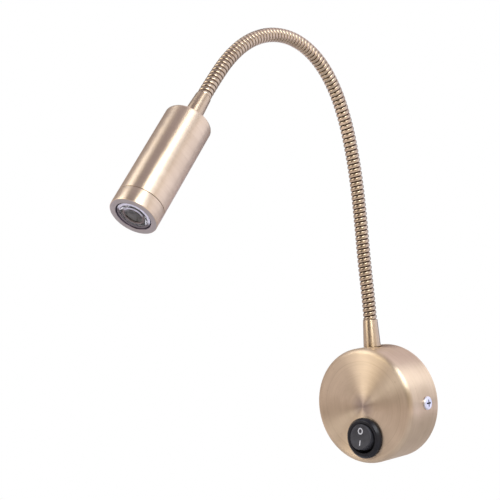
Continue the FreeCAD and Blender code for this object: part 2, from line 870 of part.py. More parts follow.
def upper_ferrule():
    """The ferrule on the head, with its thread through the head's rear wall."""
    sleeve = ferrule(upper_ferrule_length)
    sleeve = sleeve.fuse(cylinder(spigot_radius, -head_spigot_top, ferrule_tip_radius))
    sleeve = sleeve.cut(cylinder(ferrule_lead_radius, -head_spigot_top, upper_ferrule_length))
    return head_end(sleeve.removeSplitter())


def head_nut():
    """The nut that clamps the head to the neck."""
    return head_end(nut_and_washer(-head_rear_wall)[0])


def head_washer():
    """The washer between that nut and the head's rear wall."""
    return head_end(nut_and_washer(-head_rear_wall)[1])


# ---------------------------------------------------------------- head

def in_head(shape):
    """The shape moved from the head's frame into the lamp's frame."""
    return placed(shape, head_frame())


def head_body():
    """The turned tube with its rear wall, a shoulder for the heat sink and a thread for the bezel."""
    tube = cylinder(head_radius, 0, head_body_length)
    tube = tube.makeFillet(head_rear_radius, edges_at(tube, head_radius, 0))
    front_edge = edges_at(tube, head_radius, head_body_length)
    tube = tube.makeChamfer(joint_groove, front_edge)
    tube = tube.cut(cylinder(head_bore_radius, head_rear_wall, head_body_length))
    tube = tube.cut(cylinder(bezel_thread_radius, seat_depth, head_body_length))
    return in_head(tube.cut(cylinder(spigot_radius + hole_clearance, 0, head_rear_wall)))


def bezel_ring():
    """The screwed-on front ring, whose lip holds the lens in."""
    spigot_radius_outer = bezel_thread_radius - slip_clearance
    ring = turned([
        (bezel_bore_radius, head_body_length - bezel_spigot_length),
        (spigot_radius_outer, head_body_length - bezel_spigot_length),
        (spigot_radius_outer, head_body_length),
        (head_radius - joint_groove, head_body_length),
        (head_radius, head_body_length + joint_groove),
        (head_radius, head_length - bezel_chamfer),
        (head_radius - bezel_chamfer, head_length),
        (bezel_opening_radius + bezel_chamfer, head_length),
        (bezel_opening_radius, head_length - bezel_chamfer),
        (bezel_opening_radius, lip_back),
        (bezel_bore_radius, lip_back),
    ])
    return in_head(ring)


def core_places():
    """Where the two cores pass the heat sink and the board."""
    return ((core_hole_circle, 0.0), (-core_hole_circle, 0.0))


def board_screw_places():
    """Where the two board screws stand."""
    return ((0.0, board_screw_circle), (0.0, -board_screw_circle))


def heat_sink():
    """The aluminium slug that the board is screwed to, with holes for the cores and the screws."""
    slug = cylinder(bezel_thread_radius - slip_clearance, seat_depth, board_back)
    for x, y in core_places():
        slug = slug.cut(cylinder(core_radius + air_gap, seat_depth, board_back, x=x, y=y))
    hole_bottom = board_back - board_screw_length
    for x, y in board_screw_places():
        slug = slug.cut(cylinder(m2_radius + screw_clearance, hole_bottom, board_back, x=x, y=y))
    return in_head(slug)


def led_board():
    """The round aluminium board that carries the LED."""
    board = cylinder(led_board_radius, board_back, board_front)
    for x, y in core_places():
        board = board.cut(cylinder(core_radius + air_gap, board_back, board_front, x=x, y=y))
    for x, y in board_screw_places():
        board = board.cut(cylinder(m2_radius + hole_clearance, board_back, board_front, x=x, y=y))
    return in_head(board)


def led_chip():
    """The LED: a square package with a domed lens."""
    half = led_size / 2
    top = board_front + led_height
    chip = block((-half, half), (-half, half), (board_front, top))
    dome = Part.makeSphere(led_dome_radius, Vector(0, 0, top))
    dome = dome.common(block((-half, half), (-half, half), (board_front, top + led_dome_radius)))
    return in_head(chip.fuse(dome).removeSplitter())


def board_screws():
    """The two screws through the board into the heat sink."""
    scale = m2_head_radius / m4_head_radius
    screws = []
    for x, y in board_screw_places():
        screw = pan_screw(m2_radius, m2_head_radius, m2_head_height, board_screw_length, scale)
        screw.Placement = Placement(Vector(x, y, board_front), Rotation())
        screws.append(screw)
    return in_head(Part.makeCompound(screws))


def led_leads():
    """The two cores from the end of the lead, through the heat sink, to the board's face."""
    leads = []
    for side in (-1, 1):
        near = side * lead_radius / 2
        far = side * core_hole_circle
        bend = (seat_depth - lead_end) / 4
        points = [
            Vector(near, 0, lead_end),
            Vector(near, 0, lead_end + bend),
            Vector(far, 0, seat_depth - bend),
            Vector(far, 0, board_front),
        ]
        leads.append(tube_on_path(points, core_radius))
    return in_head(Part.makeCompound(leads))


def lens():
    """The clear lens: a flange with a boss in front, a cone towards the LED and a well at each end."""
    boss_radius = bezel_opening_radius - hole_clearance
    boss_front = lens_front + lens_boss_height
    shape = turned([
        (0, lens_back + lens_led_well_depth),
        (lens_led_well_radius, lens_back + lens_led_well_depth),
        (lens_led_well_radius, lens_back),
        (lens_back_radius, lens_back),
        (lens_rim_radius, lens_shoulder),
        (lens_flange_radius, lens_shoulder),
        (lens_flange_radius, lens_front),
        (boss_radius, lens_front),
        (boss_radius, boss_front),
        (lens_front_well_radius, boss_front),
        (lens_front_well_radius, boss_front - lens_front_well_depth),
        (0, boss_front - lens_front_well_depth),
    ])
    return in_head(shape)


def lens_holder():
    """The ring under the lens's flange, on three legs that stand on the board."""
    ring = cylinder(holder_outer_radius, board_front, lens_shoulder)
    ring = ring.cut(cylinder(holder_inner_radius, board_front, lens_shoulder))
    leg_top = board_front + holder_leg_length
    half = holder_leg_width / 2
    bars = []
    for leg in range(holder_legs):
        bar = block((0, head_radius), (-half, half), (board_front, leg_top))
        bar.rotate(ORIGIN, Z_AXIS, 360 * (leg + 0.25) / holder_legs)
        bars.append(bar)
    bars = Part.makeCompound(bars)
    windows = cylinder(head_radius, board_front, leg_top).cut(bars)
    feet = cylinder(led_board_radius, board_front, leg_top)
    feet = feet.cut(cylinder(holder_inner_radius - holder_wall, board_front, leg_top)).common(bars)
    return in_head(ring.cut(windows).fuse(feet).removeSplitter())


def lens_gasket():
    """The soft ring between the lens and the bezel's lip."""
    ring = cylinder(lens_flange_radius, lens_front, lip_back)
    return in_head(ring.cut(cylinder(bezel_opening_radius, lens_front, lip_back)))


# ---------------------------------------------------------------- nodes

def nodes():
    """Every piece by its name."""
    pieces = {
        "cover": cover(),
        "wall_plate": wall_plate(),
        "cover_screws": cover_screws(),
        "cable_grommet": cable_grommet(),
        "driver_pad": driver_pad(),
        "driver_case": driver_case(),
        "driver_board": driver_board(),
        "driver_parts": driver_parts(),
        "terminal_block": terminal_block(),
        "terminal_screws": terminal_screws(),
        "earth_tag": earth_tag(),
        "earth_screw": earth_screw(),
        "supply_leads": supply_leads(),
        "switch_body": switch_body(),
        "switch_terminals": switch_terminals(),
        "switch_contact": switch_contact(),
        "switch_rocker": switch_rocker(),
        "switch_plunger": switch_plunger(),
        "switch_spring": switch_spring(),
        "lower_ferrule": lower_ferrule(),
        "base_nut": base_nut(),
        "base_washer": base_washer(),
        "neck_lead": neck_lead(),
        "upper_ferrule": upper_ferrule(),
        "head_nut": head_nut(),
        "head_washer": head_washer(),
        "head_body": head_body(),
        "bezel_ring": bezel_ring(),
        "heat_sink": heat_sink(),
        "led_board": led_board(),
        "led_chip": led_chip(),
        "board_screws": board_screws(),
        "led_leads": led_leads(),
        "lens": lens(),
        "lens_holder": lens_holder(),
        "lens_gasket": lens_gasket(),
    }
    for number in range(len(link_bends)):
        pieces[f"neck_link_{number + 1:02d}"] = neck_link(number)
    return pieces


os.makedirs("parts", exist_ok=True)
for name, shape in nodes().items():
    shape.exportStep(f"parts/{name}.step")
    state = "valid" if shape.isValid() else "NOT VALID"
    print(f"{name}: {len(shape.Solids)} solid(s), {shape.Volume:.1f} mm3, {state}")
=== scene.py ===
"""The looks of a bedside wall reading lamp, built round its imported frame.

Metres, +Z up. The wall is the plane y = 0 and the lamp stands out from it towards -y.
"""

import json
import math
import bmesh
import bpy
from mathutils import Matrix, Vector


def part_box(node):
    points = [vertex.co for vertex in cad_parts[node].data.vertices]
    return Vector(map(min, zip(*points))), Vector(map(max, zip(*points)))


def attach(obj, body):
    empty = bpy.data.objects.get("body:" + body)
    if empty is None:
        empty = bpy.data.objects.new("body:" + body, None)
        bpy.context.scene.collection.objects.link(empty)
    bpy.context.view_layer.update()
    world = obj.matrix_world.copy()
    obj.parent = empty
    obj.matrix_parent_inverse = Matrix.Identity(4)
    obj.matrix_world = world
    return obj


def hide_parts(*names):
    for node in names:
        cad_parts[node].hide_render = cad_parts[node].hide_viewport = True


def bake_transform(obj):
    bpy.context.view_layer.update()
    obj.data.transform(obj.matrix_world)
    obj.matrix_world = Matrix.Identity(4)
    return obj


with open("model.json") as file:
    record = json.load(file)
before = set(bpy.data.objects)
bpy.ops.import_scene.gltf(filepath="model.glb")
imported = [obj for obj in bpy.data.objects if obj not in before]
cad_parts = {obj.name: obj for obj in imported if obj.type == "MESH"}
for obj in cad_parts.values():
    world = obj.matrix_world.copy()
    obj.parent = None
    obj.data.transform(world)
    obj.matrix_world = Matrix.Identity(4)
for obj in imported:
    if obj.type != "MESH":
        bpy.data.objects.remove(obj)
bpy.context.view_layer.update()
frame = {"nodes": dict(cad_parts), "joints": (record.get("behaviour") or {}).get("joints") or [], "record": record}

MM = 0.001
X_AXIS = Vector((1, 0, 0))

# ---------------------------------------------------------------- sizes

# what the frame says
BASE_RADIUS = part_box("cover")[1].x
BASE_DEPTH = -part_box("cover")[0].y
FLANGE_RADIUS = (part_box("switch_body")[1].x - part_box("switch_body")[0].x) / 2
SWITCH_HEIGHT = (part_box("switch_body")[1].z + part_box("switch_body")[0].z) / 2
SCREW_HEIGHT = -(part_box("cover_screws")[0].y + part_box("cover_screws")[1].y) / 2
FERRULE_LOW, FERRULE_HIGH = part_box("lower_ferrule")
NECK_START = Vector((0, (FERRULE_LOW.y + FERRULE_HIGH.y) / 2, FERRULE_HIGH.z))
NECK_JOINTS = [joint for joint in frame["joints"] if joint["child"].startswith(("neck_", "head"))]
NECK_BODIES = ["base"] + [joint["child"] for joint in NECK_JOINTS]
ROCKER_PIVOT = Vector(next(joint["pos_m"] for joint in frame["joints"] if joint["child"] == "rocker"))

# the cover screws' cross recess, from its middle to the end of an arm
SCREW_RECESS = 2.1 * MM

# the neck
RIB_PITCH = 2.68 * MM
RIBS_PER_LINK = 8
RIB_CREST_RADIUS = 4.0 * MM
RIB_GROOVE_RADIUS = 3.28 * MM
RIB_CORE_RADIUS = 3.25 * MM
RIB_BORE_RADIUS = 1.9 * MM
LAST_LINK_TURN = math.radians(3)
BEND_REACH = 0.45  # of a link's length, to each side of a hinge
HINGES_FROM_ABOVE = (3,)  # hinges at which carry swaps the body above and the body below
LEAD_RADIUS = 1.3 * MM
LEAD_BEFORE_NECK = NECK_START.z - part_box("neck_lead")[0].z
LEAD_PAST_NECK = 50.5 * MM

# ferrules
FERRULE_TIP_RADIUS = 4.3 * MM
FERRULE_FOOT_RADIUS = 5.15 * MM
SPIGOT_RADIUS = 4.0 * MM
SPIGOT_HOLE = 4.15 * MM
NECK_SOCKET_RADIUS = 3.3 * MM
NECK_SOCKET_DEPTH = 10.3 * MM
LEAD_HOLE = 2.0 * MM
UPPER_FERRULE_LENGTH = 18.5 * MM

# the head, from its rear face forward
JOINT_LINE = 0.3 * MM
HEAD_RADIUS = 13.0 * MM
HEAD_LENGTH = 66.6 * MM
BEZEL_JOINT = 57.8 * MM
BEZEL_OPENING = 9.6 * MM
BEZEL_LIP = 1.8 * MM
LENS_FRONT = 64.3 * MM

# the studio: how bright each part of it is, in red, green and blue
STUDIO = {
    "ceiling": (0.46, 0.43, 0.52),
    "floor_front": (1.95, 1.75, 1.85),
    "floor_back": (1.8, 1.7, 2.1),
    "left": (0.68, 0.61, 0.62),
    "gap": (0.02, 0.02, 0.02),
    "right": (0.70, 0.62, 0.52),
    "right_back": (0.72, 0.77, 1.0),
    "back": (0.9, 0.82, 0.95),
}

# parts of the horizon in degrees: the middle, then how far full light and any light reach from it
LEFT_SECTOR = (-68, 42, 58)
GAP_SECTOR = (4, 10, 22)
RIGHT_SECTOR = (63, 38, 52)

# softboxes: azimuth and elevation in degrees, distance, width and height in metres, watts, colour
SOFTBOXES = {
    "left_box": (-47, 40, 1.3, 0.7, 1.0, 5.0, (0.72, 0.78, 0.90)),
    "left_front_box": (-31, 28, 1.3, 0.8, 0.8, 5.4, (0.98, 0.92, 0.74)),
    "right_front_box": (54, 35, 1.3, 0.56, 0.75, 11.5, (0.96, 1.0, 1.02)),
    "right_box": (80, 38, 1.2, 0.6, 0.9, 3.4, (0.84, 0.95, 1.2)),
    "back_box": (132, 14, 1.2, 1.6, 0.9, 3.0, (0.88, 0.84, 0.9)),
}
LAMP_MIDDLE = Vector((0, -0.1, 0.09))

# the switch
FLANGE_FRONT = 31.2 * MM
FLANGE_RIM = 1.6 * MM
FLANGE_SLOPE = 1.5 * MM
ROCKER_RADIUS = 7.5 * MM
ROCKER_FACE = 33.1 * MM + ROCKER_PIVOT.y
ROCKER_DISH = 0.8 * MM

TURNED_SEGMENTS = 192
SMOOTH_ANGLE = math.radians(32)

# Local frames. z is out from the wall, up the neck, or out of the lens.
BASE_FRAME = Matrix.Rotation(math.radians(90), 4, "X")
SWITCH_FRAME = BASE_FRAME @ Matrix.Translation((0, SWITCH_HEIGHT, 0))
FERRULE_FRAME = Matrix.Translation((0, NECK_START.y, BASE_RADIUS))
ROCKER_REST = Matrix.Translation(ROCKER_PIVOT) @ Matrix.Rotation(math.radians(-11), 4, "X") @ BASE_FRAME


# ---------------------------------------------------------------- camera, floor and light

def placed(name, data):
    """A new object in the scene."""
    made = bpy.data.objects.new(name, data)
    bpy.context.scene.collection.objects.link(made)
    return made


def add_camera():
    """The camera that the lamp is seen from, on an image as high as it is wide."""
    place = Vector((0.503672, -0.721594, 0.093684))
    yaw = math.radians(39.953)
    pitch = math.radians(-0.207)
    roll = math.radians(-4.355)
    ahead = Vector((-math.sin(yaw) * math.cos(pitch), math.cos(yaw) * math.cos(pitch), -math.sin(pitch)))
    level_right = ahead.cross(Vector((0, 0, 1))).normalized()
    level_up = level_right.cross(ahead)
    right = math.cos(roll) * level_right + math.sin(roll) * level_up
    up = -math.sin(roll) * level_right + math.cos(roll) * level_up
    sensor_width = 36
    focal_length = 104.54
    data = bpy.data.cameras.new("camera")
    data.sensor_width = sensor_width
    data.lens = focal_length
    camera = placed("camera", data)
    turn = Matrix((right, up, -ahead)).transposed().to_4x4()
    camera.matrix_world = Matrix.Translation(place) @ turn
    bpy.context.scene.camera = camera


def add_softbox(name, azimuth, elevation, distance, width, height, power, colour):
    """A rectangular light that faces the lamp. Azimuth 0 is straight out from the wall, 90 is along +x."""
    turn = math.radians(azimuth)
    rise = math.radians(elevation)
    away = Vector((math.sin(turn) * math.cos(rise), -math.cos(turn) * math.cos(rise), math.sin(rise)))
    data = bpy.data.lights.new(name, "AREA")
    data.shape = "RECTANGLE"
    data.size = width
    data.size_y = height
    data.energy = power
    data.color = colour
    light = placed(name, data)
    light.location = LAMP_MIDDLE + away * distance
    light.rotation_euler = away.to_track_quat("Z", "Y").to_euler()


def sector(tree, angle, centre, inner, outer):
    """A soft share of the horizon round an angle in degrees: all of it inside inner, none outside outer."""
    off = math_of(tree, "ABSOLUTE", math_of(tree, "SUBTRACT", angle, math.radians(centre)))
    return ranged(tree, off, math.radians(inner), math.radians(outer), 1.0, 0.0)


def studio_glow(tree):
    """What the metal reflects of the studio: its floor, ceiling and sides, with a dark gap in front."""
    x, y, z = split(tree, tree.nodes.new("ShaderNodeTexCoord").outputs["Generated"])
    angle = math_of(tree, "ARCTAN2", x, times(tree, y, -1.0))
    high = ranged(tree, z, 0.35, 0.75, 0.0, 1.0)
    low = ranged(tree, z, -0.45, -0.05, 1.0, 0.0)
    level = math_of(tree, "SUBTRACT", math_of(tree, "SUBTRACT", 1.0, high), low)
    low_front = times(tree, low, ranged(tree, y, -0.3, 0.3, 1.0, 0.0))
    low_back = times(tree, low, ranged(tree, y, -0.3, 0.3, 0.0, 1.0))
    rightward = ranged(tree, x, -0.1, 0.3, 0.0, 1.0)
    behind = ranged(tree, math_of(tree, "ABSOLUTE", x), 0.3, 0.5, 1.0, 0.0)
    above = ranged(tree, z, 0.1, 0.4, 0.0, 1.0)
    backward = ranged(tree, y, -0.1, 0.4, 0.0, 1.0)
    shares = {
        "ceiling": high,
        "floor_front": low_front,
        "floor_back": low_back,
        "left": times(tree, level, sector(tree, angle, *LEFT_SECTOR)),
        "gap": times(tree, level, sector(tree, angle, *GAP_SECTOR)),
        "right": times(tree, level, sector(tree, angle, *RIGHT_SECTOR)),
        "right_back": times(tree, level, times(tree, rightward, backward)),
        "back": times(tree, times(tree, behind, above), backward),
    }
    glow = Vector((0, 0, 0))
    for name, share in shares.items():
        glow = vector_of(tree, "ADD", glow, scaled(tree, STUDIO[name], share))
    return glow


def add_room():
    """A white backdrop that the camera sees, and round it the studio that the metal reflects."""
    world = bpy.data.worlds.new("room")
    bpy.context.scene.world = world
    world.use_nodes = True
    tree = world.node_tree
    tree.nodes.clear()
    seen = tree.nodes.new("ShaderNodeBackground")
    seen.inputs["Color"].default_value = (1, 1, 1, 1)
    room = tree.nodes.new("ShaderNodeBackground")
    tree.links.new(studio_glow(tree), room.inputs["Color"])
    path = tree.nodes.new("ShaderNodeLightPath")
    mix = tree.nodes.new("ShaderNodeMixShader")
    output = tree.nodes.new("ShaderNodeOutputWorld")
    tree.links.new(path.outputs["Is Camera Ray"], mix.inputs["Fac"])
    tree.links.new(room.outputs[0], mix.inputs[1])
    tree.links.new(seen.outputs[0], mix.inputs[2])
    tree.links.new(mix.outputs[0], output.inputs["Surface"])


def add_floor():
    """A plain pale floor well below the lamp."""
    half = 0.8
    level = -0.30
    mesh = bpy.data.meshes.new("floor")
    corners = [(-half, -half, level), (half, -half, level), (half, half, level), (-half, half, level)]
    mesh.from_pydata(corners, [], [(0, 1, 2, 3)])
    floor = placed("floor", mesh)
    pale = bpy.data.materials.new("pale_floor")
    pale.use_nodes = True
    surface = pale.node_tree.nodes["Principled BSDF"]
    surface.inputs["Base Color"].default_value = (0.6, 0.6, 0.6, 1)
    surface.inputs["Roughness"].default_value = 0.8
    mesh.materials.append(pale)


def add_lights():
    """Softboxes on both sides of the camera, with a dark gap between them, and one behind."""
    for name, numbers in SOFTBOXES.items():
        add_softbox(name, *numbers)


# ---------------------------------------------------------------- node helpers

FLOAT = "NodeSocketFloat"
INTEGER = "NodeSocketInt"
VECTOR = "NodeSocketVector"
COLOUR = "NodeSocketColor"
GEOMETRY = "NodeSocketGeometry"
MATERIAL = "NodeSocketMaterial"


def feed(tree, socket, value):
    """Joins a socket to another one, or sets its value."""
    if isinstance(value, bpy.types.NodeSocket):
        tree.links.new(value, socket)
    else:
        socket.default_value = value


def math_of(tree, operation, *values):
    """A Math node's result."""
    made = tree.nodes.new("ShaderNodeMath")
    made.operation = operation
    for socket, value in zip(made.inputs, values):
        feed(tree, socket, value)
    return made.outputs[0]


def times(tree, first, second):
    """The product of two numbers."""
    return math_of(tree, "MULTIPLY", first, second)


def vector_of(tree, operation, *values):
    """A Vector Math node's result."""
    made = tree.nodes.new("ShaderNodeVectorMath")
    made.operation = operation
    for socket, value in zip(made.inputs, values):
        feed(tree, socket, value)
    return made.outputs["Value" if operation in ("LENGTH", "DOT_PRODUCT") else "Vector"]


def scaled(tree, vector, factor):
    """A vector times a number."""
    made = tree.nodes.new("ShaderNodeVectorMath")
    made.operation = "SCALE"
    feed(tree, made.inputs[0], vector)
    feed(tree, made.inputs["Scale"], factor)
    return made.outputs["Vector"]


def split(tree, vector):
    """The three parts of a vector."""
    made = tree.nodes.new("ShaderNodeSeparateXYZ")
    feed(tree, made.inputs[0], vector)
    return made.outputs


def joined(tree, x, y, z):
    """A vector of three parts."""
    made = tree.nodes.new("ShaderNodeCombineXYZ")
    for socket, value in zip(made.inputs, (x, y, z)):
        feed(tree, socket, value)
    return made.outputs[0]


def mixed(tree, share, first, second):
    """A colour between two colours."""
    made = tree.nodes.new("ShaderNodeMix")
    made.data_type = "RGBA"
    feed(tree, made.inputs["Factor"], share)
    feed(tree, made.inputs[6], first)
    feed(tree, made.inputs[7], second)
    return made.outputs[2]


def ranged(tree, value, low, high, to_low, to_high):
    """A value moved from one range to another, held at its ends."""
    made = tree.nodes.new("ShaderNodeMapRange")
    feed(tree, made.inputs["Value"], value)
    for name, number in (("From Min", low), ("From Max", high), ("To Min", to_low), ("To Max", to_high)):
        feed(tree, made.inputs[name], number)
    return made.outputs[0]


def noise(tree, position, scale, detail=2.0, w=None):
    """A Noise Texture's value."""
    made = tree.nodes.new("ShaderNodeTexNoise")
    if w is not None:
        made.noise_dimensions = "4D"
        feed(tree, made.inputs["W"], w)
    feed(tree, made.inputs["Vector"], position)
    feed(tree, made.inputs["Scale"], scale)
    feed(tree, made.inputs["Detail"], detail)
    return made.outputs[0]


def new_group(name, kind, inputs, outputs):
    """An empty node group with named sockets, and its two end nodes."""
    tree = bpy.data.node_groups.new(name, kind)
    for label, socket_type, default in inputs:
        socket = tree.interface.new_socket(label, in_out="INPUT", socket_type=socket_type)
        if default is not None:
            socket.default_value = default
    for label, socket_type in outputs:
        tree.interface.new_socket(label, in_out="OUTPUT", socket_type=socket_type)
    return tree, tree.nodes.new("NodeGroupInput"), tree.nodes.new("NodeGroupOutput")


# ---------------------------------------------------------------- shader effects

def spun_lines_group():
    """Fine lines round an axis, as a lathe or a brushing wheel leaves them. z is the axis."""
    tree, given, result = new_group(
        "Spun Lines",
        "ShaderNodeTree",
        [
            ("Position", VECTOR, None),
            ("Line Pitch", FLOAT, 0.0002),
            ("Broken", FLOAT, 2.0),
        ],
        [("Lines", FLOAT), ("Bands", FLOAT)],
    )
    position = given.outputs["Position"]
    x, y, z = split(tree, position)
    flat = joined(tree, x, y, 0.0)
    radius = vector_of(tree, "LENGTH", flat)
    round_x, round_y, _ = split(tree, scaled(tree, vector_of(tree, "NORMALIZE", flat), given.outputs["Broken"]))
    across = math_of(tree, "DIVIDE", radius, given.outputs["Line Pitch"])
    along = math_of(tree, "DIVIDE", z, given.outputs["Line Pitch"])
    lines = noise(tree, joined(tree, across, along, round_x), 1.0, 3.0, round_y)
    slow_across = times(tree, across, 0.12)
    slow_along = times(tree, along, 0.12)
    bands = noise(tree, joined(tree, slow_across, slow_along, round_x), 1.0, 2.0, round_y)
    tree.links.new(lines, result.inputs["Lines"])
    tree.links.new(bands, result.inputs["Bands"])
    return tree


def tarnish_group():
    """Soft darker clouds and small specks, as on old brass."""
    tree, given, result = new_group(
        "Tarnish",
        "ShaderNodeTree",
        [
            ("Position", VECTOR, None),
            ("Clean", COLOUR, None),
            ("Dark", COLOUR, None),
            ("Cloud Size", FLOAT, 0.02),
            ("Amount", FLOAT, 0.3),
        ],
        [("Color", COLOUR), ("Mask", FLOAT)],
    )
    spread = math_of(tree, "DIVIDE", 1.0, given.outputs["Cloud Size"])
    clouds = ranged(tree, noise(tree, given.outputs["Position"], spread, 4.0), 0.42, 0.72, 0.0, 1.0)
    fine = times(tree, spread, 18.0)
    specks = ranged(tree, noise(tree, given.outputs["Position"], fine, 1.0), 0.68, 0.78, 0.0, 0.6)
    mask = times(tree, math_of(tree, "MAXIMUM", clouds, specks), given.outputs["Amount"])
    tree.links.new(mixed(tree, mask, given.outputs["Clean"], given.outputs["Dark"]), result.inputs["Color"])
    tree.links.new(mask, result.inputs["Mask"])
    return tree


def grain_group():
    """The fine pebbled grain of moulded plastic and rubber."""
    tree, given, result = new_group(
        "Moulded Grain",
        "ShaderNodeTree",
        [("Position", VECTOR, None), ("Grain Size", FLOAT, 0.0003)],
        [("Height", FLOAT), ("Sheen Break", FLOAT)],
    )
    spread = math_of(tree, "DIVIDE", 1.0, given.outputs["Grain Size"])
    height = noise(tree, given.outputs["Position"], spread, 2.0)
    slow = noise(tree, given.outputs["Position"], times(tree, spread, 0.08), 2.0)
    tree.links.new(height, result.inputs["Height"])
    tree.links.new(slow, result.inputs["Sheen Break"])
    return tree


SPUN_LINES = spun_lines_group()
TARNISH = tarnish_group()
MOULDED_GRAIN = grain_group()


# ---------------------------------------------------------------- materials

BRASS = (0.66, 0.53, 0.38, 1)
BRASS_DARK = (0.40, 0.30, 0.20, 1)
FERRULE_BRASS = (0.52, 0.41, 0.28, 1)
NECK_CREST = (0.46, 0.365, 0.255, 1)
NECK_TARNISH = (0.30, 0.22, 0.15, 1)
NECK_GROOVE = (0.07, 0.035, 0.018, 1)
BURNISHED = (0.30, 0.23, 0.20, 1)
# painted shade for the edge of an opening
OPENING_SHADE = (0.12, 0.10, 0.13, 1)


def new_material(name, sockets):
    """A material, its tree and its surface shader, with the plain values set."""
    material = bpy.data.materials.new(name)
    material.use_nodes = True
    tree = material.node_tree
    surface = tree.nodes["Principled BSDF"]
    for label, value in sockets.items():
        surface.inputs[label].default_value = value
    return material, tree, surface


def object_position(tree, place=None):
    """The point on the piece, in the piece's own space or in the local frame that place gives."""
    position = tree.nodes.new("ShaderNodeTexCoord").outputs["Object"]
    if place is None:
        return position
    turned_back = tree.nodes.new("ShaderNodeMapping")
    turned_back.vector_type = "TEXTURE"
    turned_back.inputs["Location"].default_value = place.to_translation()
    turned_back.inputs["Rotation"].default_value = place.to_euler()
    tree.links.new(position, turned_back.inputs["Vector"])
    return turned_back.outputs["Vector"]


def use_group(tree, group, **values):
    """A group placed in a material, with its inputs given by name, where _ stands for a space."""
    made = tree.nodes.new("ShaderNodeGroup")
    made.node_tree = group
    for label, value in values.items():
        feed(tree, made.inputs[label.replace("_", " ")], value)
    return made.outputs


def bumped(tree, surface, height, depth, strength=1.0):
    """Feeds a height to the surface's normal."""
    bump = tree.nodes.new("ShaderNodeBump")
    bump.inputs["Strength"].default_value = strength
    bump.inputs["Distance"].default_value = depth
    tree.links.new(height, bump.inputs["Height"])
    tree.links.new(bump.outputs["Normal"], surface.inputs["Normal"])


def round_tangent(tree, surface, place):
    """Lays the surface's tangent round the place's z axis."""
    position = tree.nodes.new("ShaderNodeTexCoord").outputs["Object"]
    from_axis = vector_of(tree, "SUBTRACT", position, place.to_translation())
    axis = place.to_3x3() @ Vector((0, 0, 1))
    around = vector_of(tree, "NORMALIZE", vector_of(tree, "CROSS_PRODUCT", axis, from_axis))
    to_world = tree.nodes.new("ShaderNodeVectorTransform")
    to_world.vector_type = "VECTOR"
    to_world.convert_from = "OBJECT"
    to_world.convert_to = "WORLD"
    tree.links.new(around, to_world.inputs[0])
    tree.links.new(to_world.outputs[0], surface.inputs["Tangent"])


def brushed_brass(
    name, place, clean, dark, rough, line_pitch,
    amount=0.5, worn_middle=0.0, end_face_shade=None, opening=0.0, dark_rings=(),
):
    """Antique brass brushed round an axis.

    The middle can be burnished, a flat end given a greyer painted shade and an opening's edge a dark painted
    shade, and thin darker rings can be laid round it.
    """
    material, tree, surface = new_material(
        name,
        {"Metallic": 1.0, "Anisotropic": 0.9, "Anisotropic Rotation": 0.25},
    )
    local = object_position(tree, place)
    lines = use_group(tree, SPUN_LINES, Position=local, Line_Pitch=line_pitch, Broken=1.6)
    tarnish = use_group(tree, TARNISH, Position=local, Clean=clean, Dark=dark, Cloud_Size=0.03, Amount=amount)
    shade = ranged(tree, lines["Lines"], 0.3, 0.7, 0.0, 0.25)
    colour = mixed(tree, shade, tarnish["Color"], dark)
    colour = mixed(tree, ranged(tree, lines["Bands"], 0.4, 0.7, 0.0, 0.12), colour, dark)
    x, y, z = split(tree, local)
    off_axis = vector_of(tree, "LENGTH", joined(tree, x, y, 0.0))
    if worn_middle:
        middle = ranged(tree, off_axis, 0.15 * worn_middle, worn_middle, 0.8, 0.0)
        colour = mixed(tree, middle, colour, BURNISHED)
    # Painted shade: a flat end that faces along the axis is made greyer.
    if end_face_shade:
        normal = tree.nodes.new("ShaderNodeTexCoord").outputs["Normal"]
        facing = vector_of(tree, "DOT_PRODUCT", normal, place.to_3x3() @ Vector((0, 0, 1)))
        colour = mixed(tree, ranged(tree, facing, 0.9, 0.98, 0.0, 1.0), colour, end_face_shade)
    # Painted shade: the opening's inner edge is darkened nearly to black.
    if opening:
        opening_shade = ranged(tree, off_axis, opening, opening + 0.25 * MM, 1.0, 0.0)
        colour = mixed(tree, opening_shade, colour, OPENING_SHADE)
    # Thin darker rings, at given radii on the face or at given heights along the side.
    for part, place_of_line in dark_rings:
        measured = off_axis if part == "face" else z
        off_line = math_of(tree, "ABSOLUTE", math_of(tree, "SUBTRACT", measured, place_of_line))
        on_line = ranged(tree, off_line, 0.05 * MM, 0.45 * MM, 0.28, 0.0)
        colour = mixed(tree, on_line, colour, dark)
    tree.links.new(colour, surface.inputs["Base Color"])
    roughness = ranged(tree, lines["Bands"], 0.3, 0.7, rough - 0.03, rough + 0.04)
    tree.links.new(roughness, surface.inputs["Roughness"])
    bumped(tree, surface, lines["Lines"], 0.003 * MM)
    round_tangent(tree, surface, place)
    return material


def wound_brass(name, clean, dark, groove):
    """The neck's winding: bright crests, dark in the grooves, with a fine grain bumped in."""
    material, tree, surface = new_material(name, {"Metallic": 1.0})
    position = object_position(tree)
    crest = tree.nodes.new("ShaderNodeAttribute")
    crest.attribute_name = "crest"
    tarnish = use_group(tree, TARNISH, Position=position, Clean=clean, Dark=dark, Cloud_Size=0.012, Amount=0.5)
    worn = ranged(tree, crest.outputs["Fac"], 0.15, 0.85, 0.0, 1.0)
    tree.links.new(mixed(tree, worn, groove, tarnish["Color"]), surface.inputs["Base Color"])
    tree.links.new(ranged(tree, worn, 0.0, 1.0, 0.5, 0.24), surface.inputs["Roughness"])
    fine = noise(tree, position, 9000.0, 2.0)
    bumped(tree, surface, fine, 0.01 * MM, 0.4)
    return material


